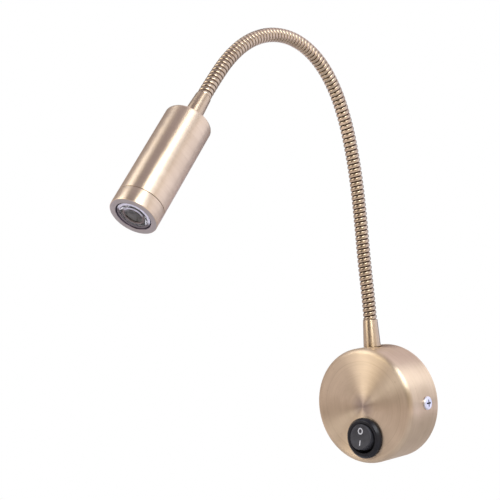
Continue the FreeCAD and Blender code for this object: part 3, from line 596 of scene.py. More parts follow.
def plain_metal(name, clean, dark, rough):
    """Plated, stamped or turned metal with faint clouds and scratches."""
    material, tree, surface = new_material(name, {"Metallic": 1.0})
    position = object_position(tree)
    tarnish = use_group(tree, TARNISH, Position=position, Clean=clean, Dark=dark, Cloud_Size=0.01, Amount=0.45)
    tree.links.new(tarnish["Color"], surface.inputs["Base Color"])
    tree.links.new(ranged(tree, tarnish["Mask"], 0.0, 0.45, rough, rough + 0.12), surface.inputs["Roughness"])
    stretched = vector_of(tree, "MULTIPLY", position, Vector((400.0, 400.0, 9000.0)))
    bumped(tree, surface, noise(tree, stretched, 1.0, 3.0), 0.02 * MM, 0.3)
    return material


def cover_screw_steel(name):
    """The cover screws' bright plating, with near-black painted shade in the cross recess."""
    material, tree, surface = new_material(name, {"Metallic": 1.0})
    position = object_position(tree)
    bright = (0.74, 0.74, 0.78, 1)
    dull = (0.5, 0.5, 0.54, 1)
    tarnish = use_group(tree, TARNISH, Position=position, Clean=bright, Dark=dull, Cloud_Size=0.004, Amount=0.5)
    x, y, z = split(tree, position)
    # Painted shade: the inside of the cross recess is coloured near black.
    from_axis = vector_of(tree, "LENGTH", joined(tree, 0.0, math_of(tree, "ADD", y, SCREW_HEIGHT), z))
    inside = math_of(tree, "LESS_THAN", from_axis, SCREW_RECESS)
    sunk = math_of(tree, "LESS_THAN", math_of(tree, "ABSOLUTE", x), BASE_RADIUS + 0.85 * MM)
    recess = times(tree, inside, sunk)
    tree.links.new(mixed(tree, recess, tarnish["Color"], (0.02, 0.02, 0.035, 1)), surface.inputs["Base Color"])
    tree.links.new(ranged(tree, tarnish["Mask"], 0.0, 0.5, 0.3, 0.42), surface.inputs["Roughness"])
    bumped(tree, surface, noise(tree, position, 6000.0, 2.0), 0.005 * MM, 0.3)
    return material


def moulded(name, colour, pale, rough, grain_size, depth, sheen):
    """Moulded plastic or rubber with a fine grain."""
    material, tree, surface = new_material(name, {"Specular IOR Level": sheen})
    position = object_position(tree)
    grain = use_group(tree, MOULDED_GRAIN, Position=position, Grain_Size=grain_size)
    share = ranged(tree, grain["Sheen Break"], 0.3, 0.7, 0.0, 1.0)
    speckled = times(tree, share, ranged(tree, grain["Height"], 0.35, 0.65, 0.4, 1.0))
    tree.links.new(mixed(tree, speckled, colour, pale), surface.inputs["Base Color"])
    roughness = ranged(tree, grain["Sheen Break"], 0.3, 0.7, rough - 0.05, rough + 0.06)
    tree.links.new(roughness, surface.inputs["Roughness"])
    bumped(tree, surface, grain["Height"], depth)
    return material


def clear_acrylic(name):
    """Polished clear acrylic with a trace of moulding flow, which lets light through to what lies behind it."""
    material, tree, surface = new_material(
        name,
        {"Base Color": (0.97, 0.98, 1.0, 1), "Transmission Weight": 1.0, "IOR": 1.49, "Metallic": 0.0},
    )
    position = object_position(tree)
    flow = noise(tree, position, 350.0, 2.0)
    tree.links.new(ranged(tree, flow, 0.3, 0.7, 0.02, 0.07), surface.inputs["Roughness"])
    bumped(tree, surface, flow, 0.02 * MM, 0.3)
    path = tree.nodes.new("ShaderNodeLightPath")
    through = tree.nodes.new("ShaderNodeBsdfTransparent")
    mix = tree.nodes.new("ShaderNodeMixShader")
    tree.links.new(path.outputs["Is Shadow Ray"], mix.inputs["Fac"])
    tree.links.new(surface.outputs[0], mix.inputs[1])
    tree.links.new(through.outputs[0], mix.inputs[2])
    tree.links.new(mix.outputs[0], tree.nodes["Material Output"].inputs["Surface"])
    return material


def painted_highlight_ring(name, turned, reach, pale, painted_shade_colour):
    """A ring on the lens with a painted highlight over a part of its round and painted shade on the rest."""
    material, tree, surface = new_material(name, {"IOR": 1.49})
    local = object_position(tree, HEAD_FRAME)
    x, y, _ = split(tree, local)
    towards = joined(tree, math.cos(math.radians(turned)), math.sin(math.radians(turned)), 0.0)
    round_it = vector_of(tree, "DOT_PRODUCT", vector_of(tree, "NORMALIZE", joined(tree, x, y, 0.0)), towards)
    edge = math.cos(math.radians(reach))
    share = ranged(tree, round_it, edge - 0.15, edge + 0.15, 0.0, 1.0)
    streaks = ranged(tree, noise(tree, local, 900.0, 3.0), 0.35, 0.65, 0.75, 1.0)
    # Painted highlight where the share is high, painted shade where it is low.
    colour = mixed(tree, times(tree, share, streaks), painted_shade_colour, pale)
    tree.links.new(colour, surface.inputs["Base Color"])
    tree.links.new(ranged(tree, streaks, 0.75, 1.0, 0.5, 0.3), surface.inputs["Roughness"])
    bumped(tree, surface, noise(tree, local, 4000.0, 2.0), 0.01 * MM, 0.4)
    return material


def neck_frames():
    """The frame at each link's lower end, and last at the neck's upper end. z runs along the neck."""
    frames = [Matrix.Translation(NECK_START)]
    for joint in NECK_JOINTS:
        frames.append(walk(frames[-1], LINK_LENGTH, link_turn(frames[-1], Vector(joint["pos_m"]))))
    frames.append(walk(frames[-1], LINK_LENGTH, LAST_LINK_TURN))
    return frames


def link_turn(start, end_point):
    """How far a link turns forward between its start frame and the point where it ends."""
    chord = start.inverted() @ end_point
    return 2 * math.atan2(-chord.y, chord.z)


def walk(start, length, turn):
    """The frame reached after an arc of that length that turns forward by that angle."""
    if abs(turn) < 1e-6:
        step = Vector((0, 0, length))
    else:
        radius = length / turn
        step = Vector((0, -radius * (1 - math.cos(turn)), radius * math.sin(turn)))
    return start @ Matrix.Translation(step) @ Matrix.Rotation(turn, 4, "X")


LINK_LENGTH = RIB_PITCH * RIBS_PER_LINK
NECK_FRAMES = neck_frames()
NECK_END = NECK_FRAMES[-1]
HEAD_FRAME = walk(NECK_END, UPPER_FERRULE_LENGTH, 0)

FINISHES = {
    "cover_brass": brushed_brass(
        "cover_brass",
        BASE_FRAME,
        BRASS,
        BRASS_DARK,
        0.42,
        0.25 * MM,
        worn_middle=9 * MM,
        dark_rings=[("face", 26.5 * MM), ("side", 2.2 * MM), ("side", 5.0 * MM)],
    ),
    "head_brass": brushed_brass("head_brass", HEAD_FRAME, BRASS, BRASS_DARK, 0.31, 0.2 * MM, 0.3),
    "bezel_brass": brushed_brass(
        "bezel_brass",
        HEAD_FRAME,
        BRASS,
        BRASS_DARK,
        0.31,
        0.2 * MM,
        0.3,
        # The bezel's flat front gets a greyer painted shade, and the edge of its opening a dark painted shade.
        end_face_shade=(0.42, 0.37, 0.35, 1),
        opening=BEZEL_OPENING + 0.15 * MM,
    ),
    "neck_brass": wound_brass("neck_brass", NECK_CREST, NECK_TARNISH, NECK_GROOVE),
    "cover_screw_steel": cover_screw_steel("cover_screw_steel"),
    "lens_clear": clear_acrylic("lens_clear"),
    # Two rings on the lens front, which carry a painted highlight and painted shade.
    "lens_outer_painted_highlight": painted_highlight_ring("lens_outer_painted_highlight", 40, 88, (0.66, 0.66, 0.76, 1), (0.10, 0.08, 0.09, 1)),
    "lens_inner_painted_highlight": painted_highlight_ring("lens_inner_painted_highlight", 55, 62, (0.5, 0.5, 0.58, 1), (0.12, 0.09, 0.085, 1)),
}
for finish, place in (("lower_ferrule_brass", FERRULE_FRAME), ("upper_ferrule_brass", HEAD_FRAME)):
    FINISHES[finish] = brushed_brass(finish, place, FERRULE_BRASS, BRASS_DARK, 0.32, 0.15 * MM, 0.4)

# name: clean colour, dark colour, roughness
METALS = {
    "plate_steel": ((0.62, 0.63, 0.64), (0.42, 0.43, 0.45), 0.35),
    "screw_steel": ((0.80, 0.80, 0.82), (0.6, 0.6, 0.62), 0.25),
    "contact_brass": ((0.8, 0.62, 0.3), (0.5, 0.36, 0.16), 0.3),
    "heat_sink_alloy": ((0.75, 0.75, 0.77), (0.5, 0.5, 0.52), 0.35),
}
for finish, (clean, dark, rough) in METALS.items():
    FINISHES[finish] = plain_metal(finish, (*clean, 1), (*dark, 1), rough)

# name: colour, paler colour, roughness, grain size and depth in mm, sheen
MOULDINGS = {
    "switch_black": ((0.008, 0.008, 0.01), (0.014, 0.014, 0.017), 0.3, 0.35, 0.01, 0.2),
    "rocker_black": ((0.018, 0.018, 0.022), (0.045, 0.045, 0.052), 0.55, 0.3, 0.05, 0.35),
    "rubber_black": ((0.02, 0.02, 0.02), (0.04, 0.04, 0.04), 0.7, 0.4, 0.02, 0.5),
    "white_plastic": ((0.8, 0.8, 0.79), (0.86, 0.86, 0.84), 0.4, 0.5, 0.01, 0.5),
    "board_green": ((0.03, 0.2, 0.08), (0.06, 0.3, 0.13), 0.35, 0.6, 0.01, 0.5),
    "component_black": ((0.03, 0.03, 0.03), (0.06, 0.06, 0.06), 0.45, 0.4, 0.02, 0.5),
    "lead_white": ((0.75, 0.75, 0.73), (0.83, 0.83, 0.8), 0.55, 0.5, 0.01, 0.5),
    "led_yellow": ((0.85, 0.62, 0.12), (0.92, 0.75, 0.25), 0.3, 0.4, 0.005, 0.5),
    "mark_white": ((0.40, 0.40, 0.42), (0.50, 0.50, 0.52), 0.5, 0.3, 0.005, 0.5),
}
for finish, (colour, pale, rough, grain_size, depth, sheen) in MOULDINGS.items():
    FINISHES[finish] = moulded(finish, (*colour, 1), (*pale, 1), rough, grain_size * MM, depth * MM, sheen)


# ---------------------------------------------------------------- mesh helpers

def add_piece(name, mesh, finish):
    """A new piece with its finish, smooth where it is round and sharp at its edges."""
    for polygon in mesh.polygons:
        polygon.use_smooth = True
    mesh.set_sharp_from_angle(angle=SMOOTH_ANGLE)
    mesh.name = name
    mesh.materials.clear()
    mesh.materials.append(FINISHES[finish])
    piece = placed(name, mesh)
    return piece


def rounded(corners, steps=6):
    """An outline of (radius, z) points, from corners of (radius, z, rounding)."""
    points = []
    count = len(corners)
    for number, (radius, height, rounding) in enumerate(corners):
        here = Vector((radius, height))
        if rounding == 0:
            points.append(here)
            continue
        back = (Vector(corners[number - 1][:2]) - here).normalized()
        ahead = (Vector(corners[(number + 1) % count][:2]) - here).normalized()
        half = back.angle(ahead) / 2
        centre = here + (back + ahead).normalized() * (rounding / math.sin(half))
        first = here + back * (rounding / math.tan(half)) - centre
        last = here + ahead * (rounding / math.tan(half)) - centre
        sweep = first.angle_signed(last)
        for step in range(steps + 1):
            turn = -sweep * step / steps
            points.append(centre + Matrix.Rotation(turn, 2) @ first)
    return points


def plain_mesh(mesh_data):
    """The mesh that a bmesh holds, which is then let go."""
    mesh = bpy.data.meshes.new("plain")
    mesh_data.to_mesh(mesh)
    mesh_data.free()
    return mesh


def turned_mesh(outline, place, segments=TURNED_SEGMENTS):
    """A closed solid turned from an outline round the place's z axis. The outline runs once round."""
    mesh_data = bmesh.new()
    rings = []
    for radius, height in outline:
        if radius < 1e-7:
            pole = mesh_data.verts.new(place @ Vector((0, 0, height)))
            rings.append([pole] * segments)
            continue
        ring = []
        for step in range(segments):
            angle = 2 * math.pi * step / segments
            point = Vector((radius * math.cos(angle), radius * math.sin(angle), height))
            ring.append(mesh_data.verts.new(place @ point))
        rings.append(ring)
    for ring, following in zip(rings, rings[1:] + rings[:1]):
        for step in range(segments):
            ahead = (step + 1) % segments
            corners = [ring[step], ring[ahead], following[ahead], following[step]]
            face = list(dict.fromkeys(corners))
            if len(face) > 2:
                mesh_data.faces.new(face)
    bmesh.ops.recalc_face_normals(mesh_data, faces=mesh_data.faces)
    return plain_mesh(mesh_data)


def boxed_mesh(low, high, place):
    """A box between two corners of the place, as a cutter."""
    mesh_data = bmesh.new()
    bmesh.ops.create_cube(mesh_data, size=1.0)
    size = Vector(high) - Vector(low)
    middle = (Vector(high) + Vector(low)) / 2
    mesh_data.transform(place @ Matrix.Translation(middle) @ Matrix.Diagonal((*size, 1)))
    return plain_mesh(mesh_data)


def rod_mesh(radius, low, high, place):
    """A plain rod along the place's z axis, as a cutter."""
    return turned_mesh([(0, low), (radius, low), (radius, high), (0, high)], place, 64)


def with_cuts(mesh, cutters):
    """The mesh with the cutters taken from it."""
    blank = placed("blank", mesh)
    helpers = []
    for cutter in cutters:
        helper = placed("helper", cutter)
        step = blank.modifiers.new("shape", "BOOLEAN")
        step.operation = "DIFFERENCE"
        step.solver = "EXACT"
        step.object = helper
        helpers.append(helper)
    result = bpy.data.meshes.new_from_object(blank.evaluated_get(bpy.context.evaluated_depsgraph_get()))
    for made in helpers + [blank]:
        bpy.data.objects.remove(made)
    return result


# ---------------------------------------------------------------- base

def make_cover():
    """The spun cup with its rounded front edge and its holes."""
    wall = 1.2 * MM
    edge = 3.3 * MM
    switch_hole = 10.15 * MM
    screw_hole = 2.15 * MM
    outline = rounded([
        (BASE_RADIUS, 0, 0),
        (BASE_RADIUS, BASE_DEPTH, edge),
        (0, BASE_DEPTH, 0),
        (0, BASE_DEPTH - wall, 0),
        (BASE_RADIUS - wall, BASE_DEPTH - wall, edge - wall),
        (BASE_RADIUS - wall, 0, 0),
    ], 10)
    cup = turned_mesh(outline, BASE_FRAME, 256)
    screw_line = BASE_FRAME @ Matrix.Translation((0, 0, SCREW_HEIGHT)) @ Matrix.Rotation(math.radians(90), 4, "Y")
    cutters = [
        rod_mesh(switch_hole, BASE_DEPTH / 2, BASE_DEPTH + wall, SWITCH_FRAME),
        rod_mesh(SPIGOT_HOLE, -2 * wall - MM, wall, FERRULE_FRAME),
        rod_mesh(screw_hole, -BASE_RADIUS - wall, BASE_RADIUS + wall, screw_line),
    ]
    cover = add_piece("cover_shell", with_cuts(cup, cutters), "cover_brass")
    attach(cover, "base")
    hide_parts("cover")


def make_cover_screws():
    """The two screws in the cover's sides, with a cross recess in a low head."""
    thread = 2.0 * MM
    thread_end = -5.6 * MM
    head = 4.0 * MM
    arm = 0.45 * MM
    arm_low, arm_high = 0.3 * MM, 2 * MM
    for side, name in ((1, "right"), (-1, "left")):
        seat = BASE_FRAME @ Matrix.Translation((side * BASE_RADIUS, 0, SCREW_HEIGHT))
        place = seat @ Matrix.Rotation(side * math.pi / 2, 4, "Y")
        outline = rounded([
            (0, thread_end, 0),
            (thread, thread_end, 0),
            (thread, 0, 0),
            (head, 0, 0),
            (head, 1.2 * MM, 0.8 * MM),
            (0, 1.45 * MM, 0),
        ], 6)
        arms = [
            boxed_mesh((-SCREW_RECESS, -arm, arm_low), (SCREW_RECESS, arm, arm_high), place),
            boxed_mesh((-arm, -SCREW_RECESS, arm_low), (arm, SCREW_RECESS, arm_high), place),
        ]
        mesh = with_cuts(turned_mesh(outline, place, 64), arms)
        screw = add_piece(f"cover_screw_{name}", mesh, "cover_screw_steel")
        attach(screw, "base")
        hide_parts("cover_screws")


def ferrule_outline(tip, spigot_end, foot_rounding):
    """A tapered sleeve's outline, with its foot at 0 and its tip and spigot at those heights."""
    socket_end = tip - math.copysign(NECK_SOCKET_DEPTH, tip)
    return rounded([
        (LEAD_HOLE, spigot_end, 0),
        (SPIGOT_RADIUS, spigot_end, 0),
        (SPIGOT_RADIUS, 0, 0),
        (FERRULE_FOOT_RADIUS, 0, foot_rounding),
        (FERRULE_TIP_RADIUS, tip, 0.35 * MM),
        (NECK_SOCKET_RADIUS, tip, 0),
        (NECK_SOCKET_RADIUS, socket_end, 0),
        (LEAD_HOLE, socket_end, 0),
    ], 5)


def make_lower_ferrule():
    """The tapered sleeve that stands with its flat foot on the cover's round side."""
    outline = ferrule_outline(NECK_START.z - BASE_RADIUS, -6.0 * MM, 0.25 * MM)
    piece = add_piece("lower_ferrule_sleeve", turned_mesh(outline, FERRULE_FRAME, 96), "lower_ferrule_brass")
    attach(piece, "base")
    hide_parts("lower_ferrule")


def make_upper_ferrule():
    """The tapered sleeve between the neck and the head."""
    outline = ferrule_outline(-UPPER_FERRULE_LENGTH, 8.0 * MM, 0.2 * MM)
    piece = add_piece("upper_ferrule_sleeve", turned_mesh(outline, HEAD_FRAME, 96), "upper_ferrule_brass")
    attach(piece, "head")
    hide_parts("upper_ferrule")


# ---------------------------------------------------------------- head

def make_head_body():
    """The turned tube of the head, with a rounded rear edge and a fine break at the bezel."""
    wall_back = 3.0 * MM
    bore = 11.0 * MM
    thread = 11.6 * MM
    thread_end = 40.0 * MM
    outline = rounded([
        (SPIGOT_HOLE, 0, 0),
        (HEAD_RADIUS, 0, 1.5 * MM),
        (HEAD_RADIUS, BEZEL_JOINT - JOINT_LINE / 2, 0.15 * MM),
        (thread, BEZEL_JOINT - JOINT_LINE / 2, 0),
        (thread, thread_end, 0),
        (bore, thread_end, 0),
        (bore, wall_back, 0),
        (SPIGOT_HOLE, wall_back, 0),
    ], 8)
    piece = add_piece("head_tube", turned_mesh(outline, HEAD_FRAME), "head_brass")
    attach(piece, "head")
    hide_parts("head_body")


def make_bezel():
    """The front ring with its lip over the lens."""
    spigot = 11.5 * MM
    bore = 10.9 * MM
    outline = rounded([
        (bore, BEZEL_JOINT - 5 * MM, 0),
        (spigot, BEZEL_JOINT - 5 * MM, 0),
        (spigot, BEZEL_JOINT + JOINT_LINE / 2, 0),
        (HEAD_RADIUS, BEZEL_JOINT + JOINT_LINE / 2, 0.15 * MM),
        (HEAD_RADIUS, HEAD_LENGTH, 0.4 * MM),
        (BEZEL_OPENING, HEAD_LENGTH, 0.4 * MM),
        (BEZEL_OPENING, HEAD_LENGTH - BEZEL_LIP, 0),
        (bore, HEAD_LENGTH - BEZEL_LIP, 0),
    ], 5)
    piece = add_piece("bezel", turned_mesh(outline, HEAD_FRAME), "bezel_brass")
    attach(piece, "head")
    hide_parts("bezel_ring")


def make_lens():
    """The clear lens with its front well and its narrowing cone."""
    back = 51.5 * MM
    shoulder = 63.3 * MM
    boss = 66.1 * MM
    boss_radius = 9.45 * MM
    flange = 10.4 * MM
    back_well = 3.4 * MM
    back_well_depth = 4.5 * MM
    outline = rounded([
        (0, back + back_well_depth, 0),
        (back_well, back + back_well_depth, 0.4 * MM),
        (back_well, back, 0),
        (5.2 * MM, back, 0),
        (9.2 * MM, shoulder, 0),
        (flange, shoulder, 0),
        (flange, LENS_FRONT, 0),
        (boss_radius, LENS_FRONT, 0),
        (boss_radius, boss, 0.5 * MM),
        (5.4 * MM, boss, 0.3 * MM),
        (4.6 * MM, boss - 5.0 * MM, 0.5 * MM),
        (0, boss - 4.6 * MM, 0),
    ], 5)
    piece = add_piece("lens_body", turned_mesh(outline, HEAD_FRAME, 128), "lens_clear")
    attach(piece, "head")
    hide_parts("lens")
    # Two thin rings on the lens front carry a painted highlight and painted shade.
    sunk, proud = boss - 0.1 * MM, boss + 0.15 * MM
    edge = 0.08 * MM
    for name, inner, outer in (("lens_outer_painted_highlight", 7.7 * MM, 9.1 * MM), ("lens_inner_painted_highlight", 4.9 * MM, 6.0 * MM)):
        outline = rounded([(inner, sunk, 0), (outer, sunk, 0), (outer, proud, edge), (inner, proud, edge)], 3)
        ring = add_piece(name, turned_mesh(outline, HEAD_FRAME, 128), name)
        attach(ring, "head")
        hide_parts("lens")


# ---------------------------------------------------------------- switch

def make_switch_housing():
    """The switch's round flange and housing."""
    opening = 8.8 * MM
    back = 14.2 * MM
    floor = back + 2.0 * MM
    barrel = 10.0 * MM
    outline = rounded([
        (0, back, 0),
        (barrel, back, 0),
        (barrel, BASE_DEPTH, 0),
        (FLANGE_RADIUS, BASE_DEPTH, 0),
        (FLANGE_RADIUS, BASE_DEPTH + FLANGE_RIM, 0.7 * MM),
        (FLANGE_RADIUS - FLANGE_SLOPE, FLANGE_FRONT, 0.9 * MM),
        (opening, FLANGE_FRONT, 0.3 * MM),
        (opening, floor, 0),
        (0, floor, 0),
    ], 6)
    piece = add_piece("switch_housing", turned_mesh(outline, SWITCH_FRAME, 128), "switch_black")
    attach(piece, "base")
    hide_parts("switch_body")


def rocker_face(y):
    """How far the rocker's dished face stands out from its pivot, at a height y on it."""
    return ROCKER_FACE + ROCKER_DISH * (y / ROCKER_RADIUS) ** 2


def make_rocker():
    """The round rocker with its dished face."""
    edge = 0.6 * MM
    back = -3.0 * MM
    rings = [(ROCKER_RADIUS, back, 0), (ROCKER_RADIUS, ROCKER_FACE - edge, 1)]
    for step in range(1, 7):
        turn = math.pi / 2 * step / 6
        rings.append((ROCKER_RADIUS - edge + edge * math.cos(turn), ROCKER_FACE - edge + edge * math.sin(turn), 1))
    flat = ROCKER_RADIUS - edge
    for step in range(1, 11):
        rings.append((flat * (1 - step / 10), ROCKER_FACE, 1))
    mesh = ringed_mesh(rings, lambda y, height, dished: height + dished * (rocker_face(y) - ROCKER_FACE))
    piece = add_piece("rocker_button", mesh, "rocker_black")
    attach(piece, "rocker")
    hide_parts("switch_rocker")


def ringed_mesh(rings, height_at, segments=96):
    """A closed solid in the rocker's frame, through rings whose height can vary with y."""
    mesh_data = bmesh.new()
    made = []
    for radius, height, dished in rings:
        ring = []
        for step in range(segments):
            angle = 2 * math.pi * step / segments
            y = radius * math.sin(angle)
            ring.append(mesh_data.verts.new((radius * math.cos(angle), y, height_at(y, height, dished))))
        made.append(ring)
    for ring, following in zip(made, made[1:]):
        for step in range(segments):
            ahead = (step + 1) % segments
            mesh_data.faces.new([ring[step], ring[ahead], following[ahead], following[step]])
    mesh_data.faces.new(list(reversed(made[0])))
    bmesh.ops.remove_doubles(mesh_data, verts=mesh_data.verts, dist=1e-6)
    bmesh.ops.recalc_face_normals(mesh_data, faces=mesh_data.faces)
    mesh_data.transform(ROCKER_REST)
    return plain_mesh(mesh_data)


def mark_mesh(outer, inner):
    """A thin flat mark on the rocker's face between two outlines, or inside one outline."""
    proud = 0.03 * MM
    depth = 0.25 * MM
    mesh_data = bmesh.new()
    loops = []
    for outline in [outer, inner] if inner else [outer]:
        tops = [mesh_data.verts.new((x, y, rocker_face(y) + proud)) for x, y in outline]
        bottoms = [mesh_data.verts.new((x, y, rocker_face(y) - depth)) for x, y in outline]
        loops.append((tops, bottoms))
    for tops, bottoms in loops:
        for step in range(len(tops)):
            ahead = (step + 1) % len(tops)
            mesh_data.faces.new([bottoms[step], bottoms[ahead], tops[ahead], tops[step]])
    for side in (0, 1):
        if inner:
            for step in range(len(outer)):
                ahead = (step + 1) % len(outer)
                first, second = loops[0][side], loops[1][side]
                mesh_data.faces.new([first[step], first[ahead], second[ahead], second[step]])
        else:
            mesh_data.faces.new(loops[0][side])
    bmesh.ops.recalc_face_normals(mesh_data, faces=mesh_data.faces)
    mesh_data.transform(ROCKER_REST)
    return plain_mesh(mesh_data)


def oval(width, height, centre, count=40):
    """An oval outline."""
    points = []
    for step in range(count):
        angle = 2 * math.pi * step / count
        points.append((width / 2 * math.cos(angle), centre + height / 2 * math.sin(angle)))
    return points


def make_marks():
    """The off ring and the on bar, printed on the rocker."""
    line = 0.7 * MM
    ring_width, ring_height, ring_centre = 3.5 * MM, 3.9 * MM, 3.4 * MM
    outer = oval(ring_width, ring_height, ring_centre)
    inner = oval(ring_width - 2 * line, ring_height - 2 * line, ring_centre)
    bar_half, bar_low, bar_high = 0.32 * MM, -5.1 * MM, -2.0 * MM
    bar = []
    steps = 6
    for step in range(steps + 1):
        bar.append((bar_half, bar_low + (bar_high - bar_low) * step / steps))
    for step in range(steps, -1, -1):
        bar.append((-bar_half, bar_low + (bar_high - bar_low) * step / steps))
    for name, mesh in (("mark_off", mark_mesh(outer, inner)), ("mark_on", mark_mesh(bar, None))):
        piece = add_piece(name, mesh, "mark_white")
        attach(piece, "rocker")
        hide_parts("switch_rocker")


# ---------------------------------------------------------------- neck

def wound_strip_tree():
    """The neck's winding: one strip wound along a path, with a round crest and a groove at each turn."""
    tree, given, result = new_group(
        "Wound Strip",
        "GeometryNodeTree",
        [
            ("Path", GEOMETRY, None),
            ("First Turn", FLOAT, 0.0),
            ("Turns", INTEGER, 8),
            ("Segments", INTEGER, 40),
            ("Profile Steps", INTEGER, 12),
            ("Pitch", FLOAT, RIB_PITCH),
            ("Crest Radius", FLOAT, RIB_CREST_RADIUS),
            ("Groove Radius", FLOAT, RIB_GROOVE_RADIUS),
            ("Core Radius", FLOAT, RIB_CORE_RADIUS),
            ("Bore Radius", FLOAT, RIB_BORE_RADIUS),
            ("Crest Share", FLOAT, 0.86),
            ("Crest Flatness", FLOAT, 4.0),
            ("Before Neck", FLOAT, 0.0),
            ("Neck Length", FLOAT, 0.0),
            ("Material", MATERIAL, None),
        ],
        [("Mesh", GEOMETRY)],
    )
    value = given.outputs

    def calc(operation, *values):
        return math_of(tree, operation, *values)

    steps = value["Profile Steps"]
    loop = calc("ADD", steps, 3)
    grid = tree.nodes.new("GeometryNodeMeshGrid")
    feed(tree, grid.inputs["Size X"], value["Turns"])
    feed(tree, grid.inputs["Size Y"], loop)
    feed(tree, grid.inputs["Vertices X"], calc("ADD", calc("MULTIPLY", value["Turns"], value["Segments"]), 1))
    feed(tree, grid.inputs["Vertices Y"], calc("ADD", loop, 1))
    at_x, at_y, _ = split(tree, tree.nodes.new("GeometryNodeInputPosition").outputs[0])
    turn = calc("ADD", calc("ADD", at_x, calc("DIVIDE", value["Turns"], 2)), value["First Turn"])
    index = calc("ADD", at_y, calc("DIVIDE", loop, 2))
    outer = calc("MINIMUM", calc("DIVIDE", index, steps), 1)
    returned = calc("GREATER_THAN", index, calc("ADD", steps, 1.5))
    across = calc("MULTIPLY", outer, calc("SUBTRACT", 1, returned))
    after_outer = calc("GREATER_THAN", index, calc("ADD", steps, 0.5))
    before_close = calc("LESS_THAN", index, calc("ADD", steps, 2.5))
    inner = calc("MULTIPLY", after_outer, before_close)
    drawn_in = calc("MULTIPLY", calc("SUBTRACT", across, 0.5), 0.995)
    along = calc("MULTIPLY", calc("ADD", calc("ADD", turn, 0.5), drawn_in), value["Pitch"])
    off_middle = calc("ABSOLUTE", calc("SUBTRACT", calc("MULTIPLY", across, 2), 1))
    off_crest = calc("MINIMUM", calc("DIVIDE", off_middle, value["Crest Share"]), 1)
    crest = calc("SQRT", calc("SUBTRACT", 1, calc("POWER", off_crest, value["Crest Flatness"])))
    on_neck = calc("MULTIPLY", calc("GREATER_THAN", along, 0.0), calc("LESS_THAN", along, value["Neck Length"]))
    rib_height = calc("MULTIPLY", crest, calc("SUBTRACT", value["Crest Radius"], value["Groove Radius"]))
    rib_radius = calc("ADD", value["Groove Radius"], rib_height)
    past_core = calc("MULTIPLY", calc("SUBTRACT", rib_radius, value["Core Radius"]), on_neck)
    skin = calc("ADD", value["Core Radius"], past_core)
    to_bore = calc("MULTIPLY", calc("SUBTRACT", value["Bore Radius"], skin), inner)
    radius = calc("ADD", skin, to_bore)
    sample = tree.nodes.new("GeometryNodeSampleCurve")
    sample.mode = "LENGTH"
    feed(tree, sample.inputs["Curves"], value["Path"])
    feed(tree, sample.inputs["Length"], calc("ADD", along, value["Before Neck"]))
    side = vector_of(tree, "CROSS_PRODUCT", sample.outputs["Tangent"], X_AXIS)
    angle = calc("MULTIPLY", turn, 2 * math.pi)
    east = scaled(tree, X_AXIS, calc("COSINE", angle))
    north = scaled(tree, side, calc("SINE", angle))
    outward = scaled(tree, vector_of(tree, "ADD", east, north), radius)
    stored = tree.nodes.new("GeometryNodeStoreNamedAttribute")
    stored.data_type = "FLOAT"
    stored.domain = "POINT"
    stored.inputs["Name"].default_value = "crest"
    feed(tree, stored.inputs["Geometry"], grid.outputs["Mesh"])
    feed(tree, stored.inputs["Value"], calc("MULTIPLY", crest, on_neck))
    moved = tree.nodes.new("GeometryNodeSetPosition")
    feed(tree, moved.inputs["Geometry"], stored.outputs["Geometry"])
    feed(tree, moved.inputs["Position"], vector_of(tree, "ADD", sample.outputs["Position"], outward))
    welded = tree.nodes.new("GeometryNodeMergeByDistance")
    feed(tree, welded.inputs["Geometry"], moved.outputs["Geometry"])
    feed(tree, welded.inputs["Distance"], 0.001 * MM)
    finish_tree(tree, welded.outputs["Geometry"], value["Material"], result)
    return tree


def finish_tree(tree, geometry, material, result):
    """Ends a tree: real geometry with its material."""
    real = tree.nodes.new("GeometryNodeRealizeInstances")
    feed(tree, real.inputs["Geometry"], geometry)
    painted = tree.nodes.new("GeometryNodeSetMaterial")
    feed(tree, painted.inputs["Geometry"], real.outputs["Geometry"])
    feed(tree, painted.inputs["Material"], material)
    tree.links.new(painted.outputs["Geometry"], result.inputs[0])


def lead_tree():
    """A stretch of the round lead inside the neck."""
    tree, given, result = new_group(
        "Lead Stretch",
        "GeometryNodeTree",
        [
            ("Path", GEOMETRY, None),
            ("Start", FLOAT, 0.0),
            ("End", FLOAT, 0.0),
            ("Radius", FLOAT, LEAD_RADIUS),
            ("Sides", INTEGER, 16),
            ("Material", MATERIAL, None),
        ],
        [("Mesh", GEOMETRY)],
    )
    value = given.outputs
    cut = tree.nodes.new("GeometryNodeTrimCurve")
    cut.mode = "LENGTH"
    feed(tree, cut.inputs["Curve"], value["Path"])
    lengths = [socket for socket in cut.inputs if socket.enabled and socket.type == "VALUE"]
    feed(tree, lengths[0], value["Start"])
    feed(tree, lengths[1], value["End"])
    section = tree.nodes.new("GeometryNodeCurvePrimitiveCircle")
    feed(tree, section.inputs["Resolution"], value["Sides"])
    feed(tree, section.inputs["Radius"], value["Radius"])
    tube = tree.nodes.new("GeometryNodeCurveToMesh")
    feed(tree, tube.inputs["Curve"], cut.outputs["Curve"])
    feed(tree, tube.inputs["Profile Curve"], section.outputs["Curve"])
    tube.inputs["Fill Caps"].default_value = True
    finish_tree(tree, tube.outputs["Mesh"], value["Material"], result)
    return tree


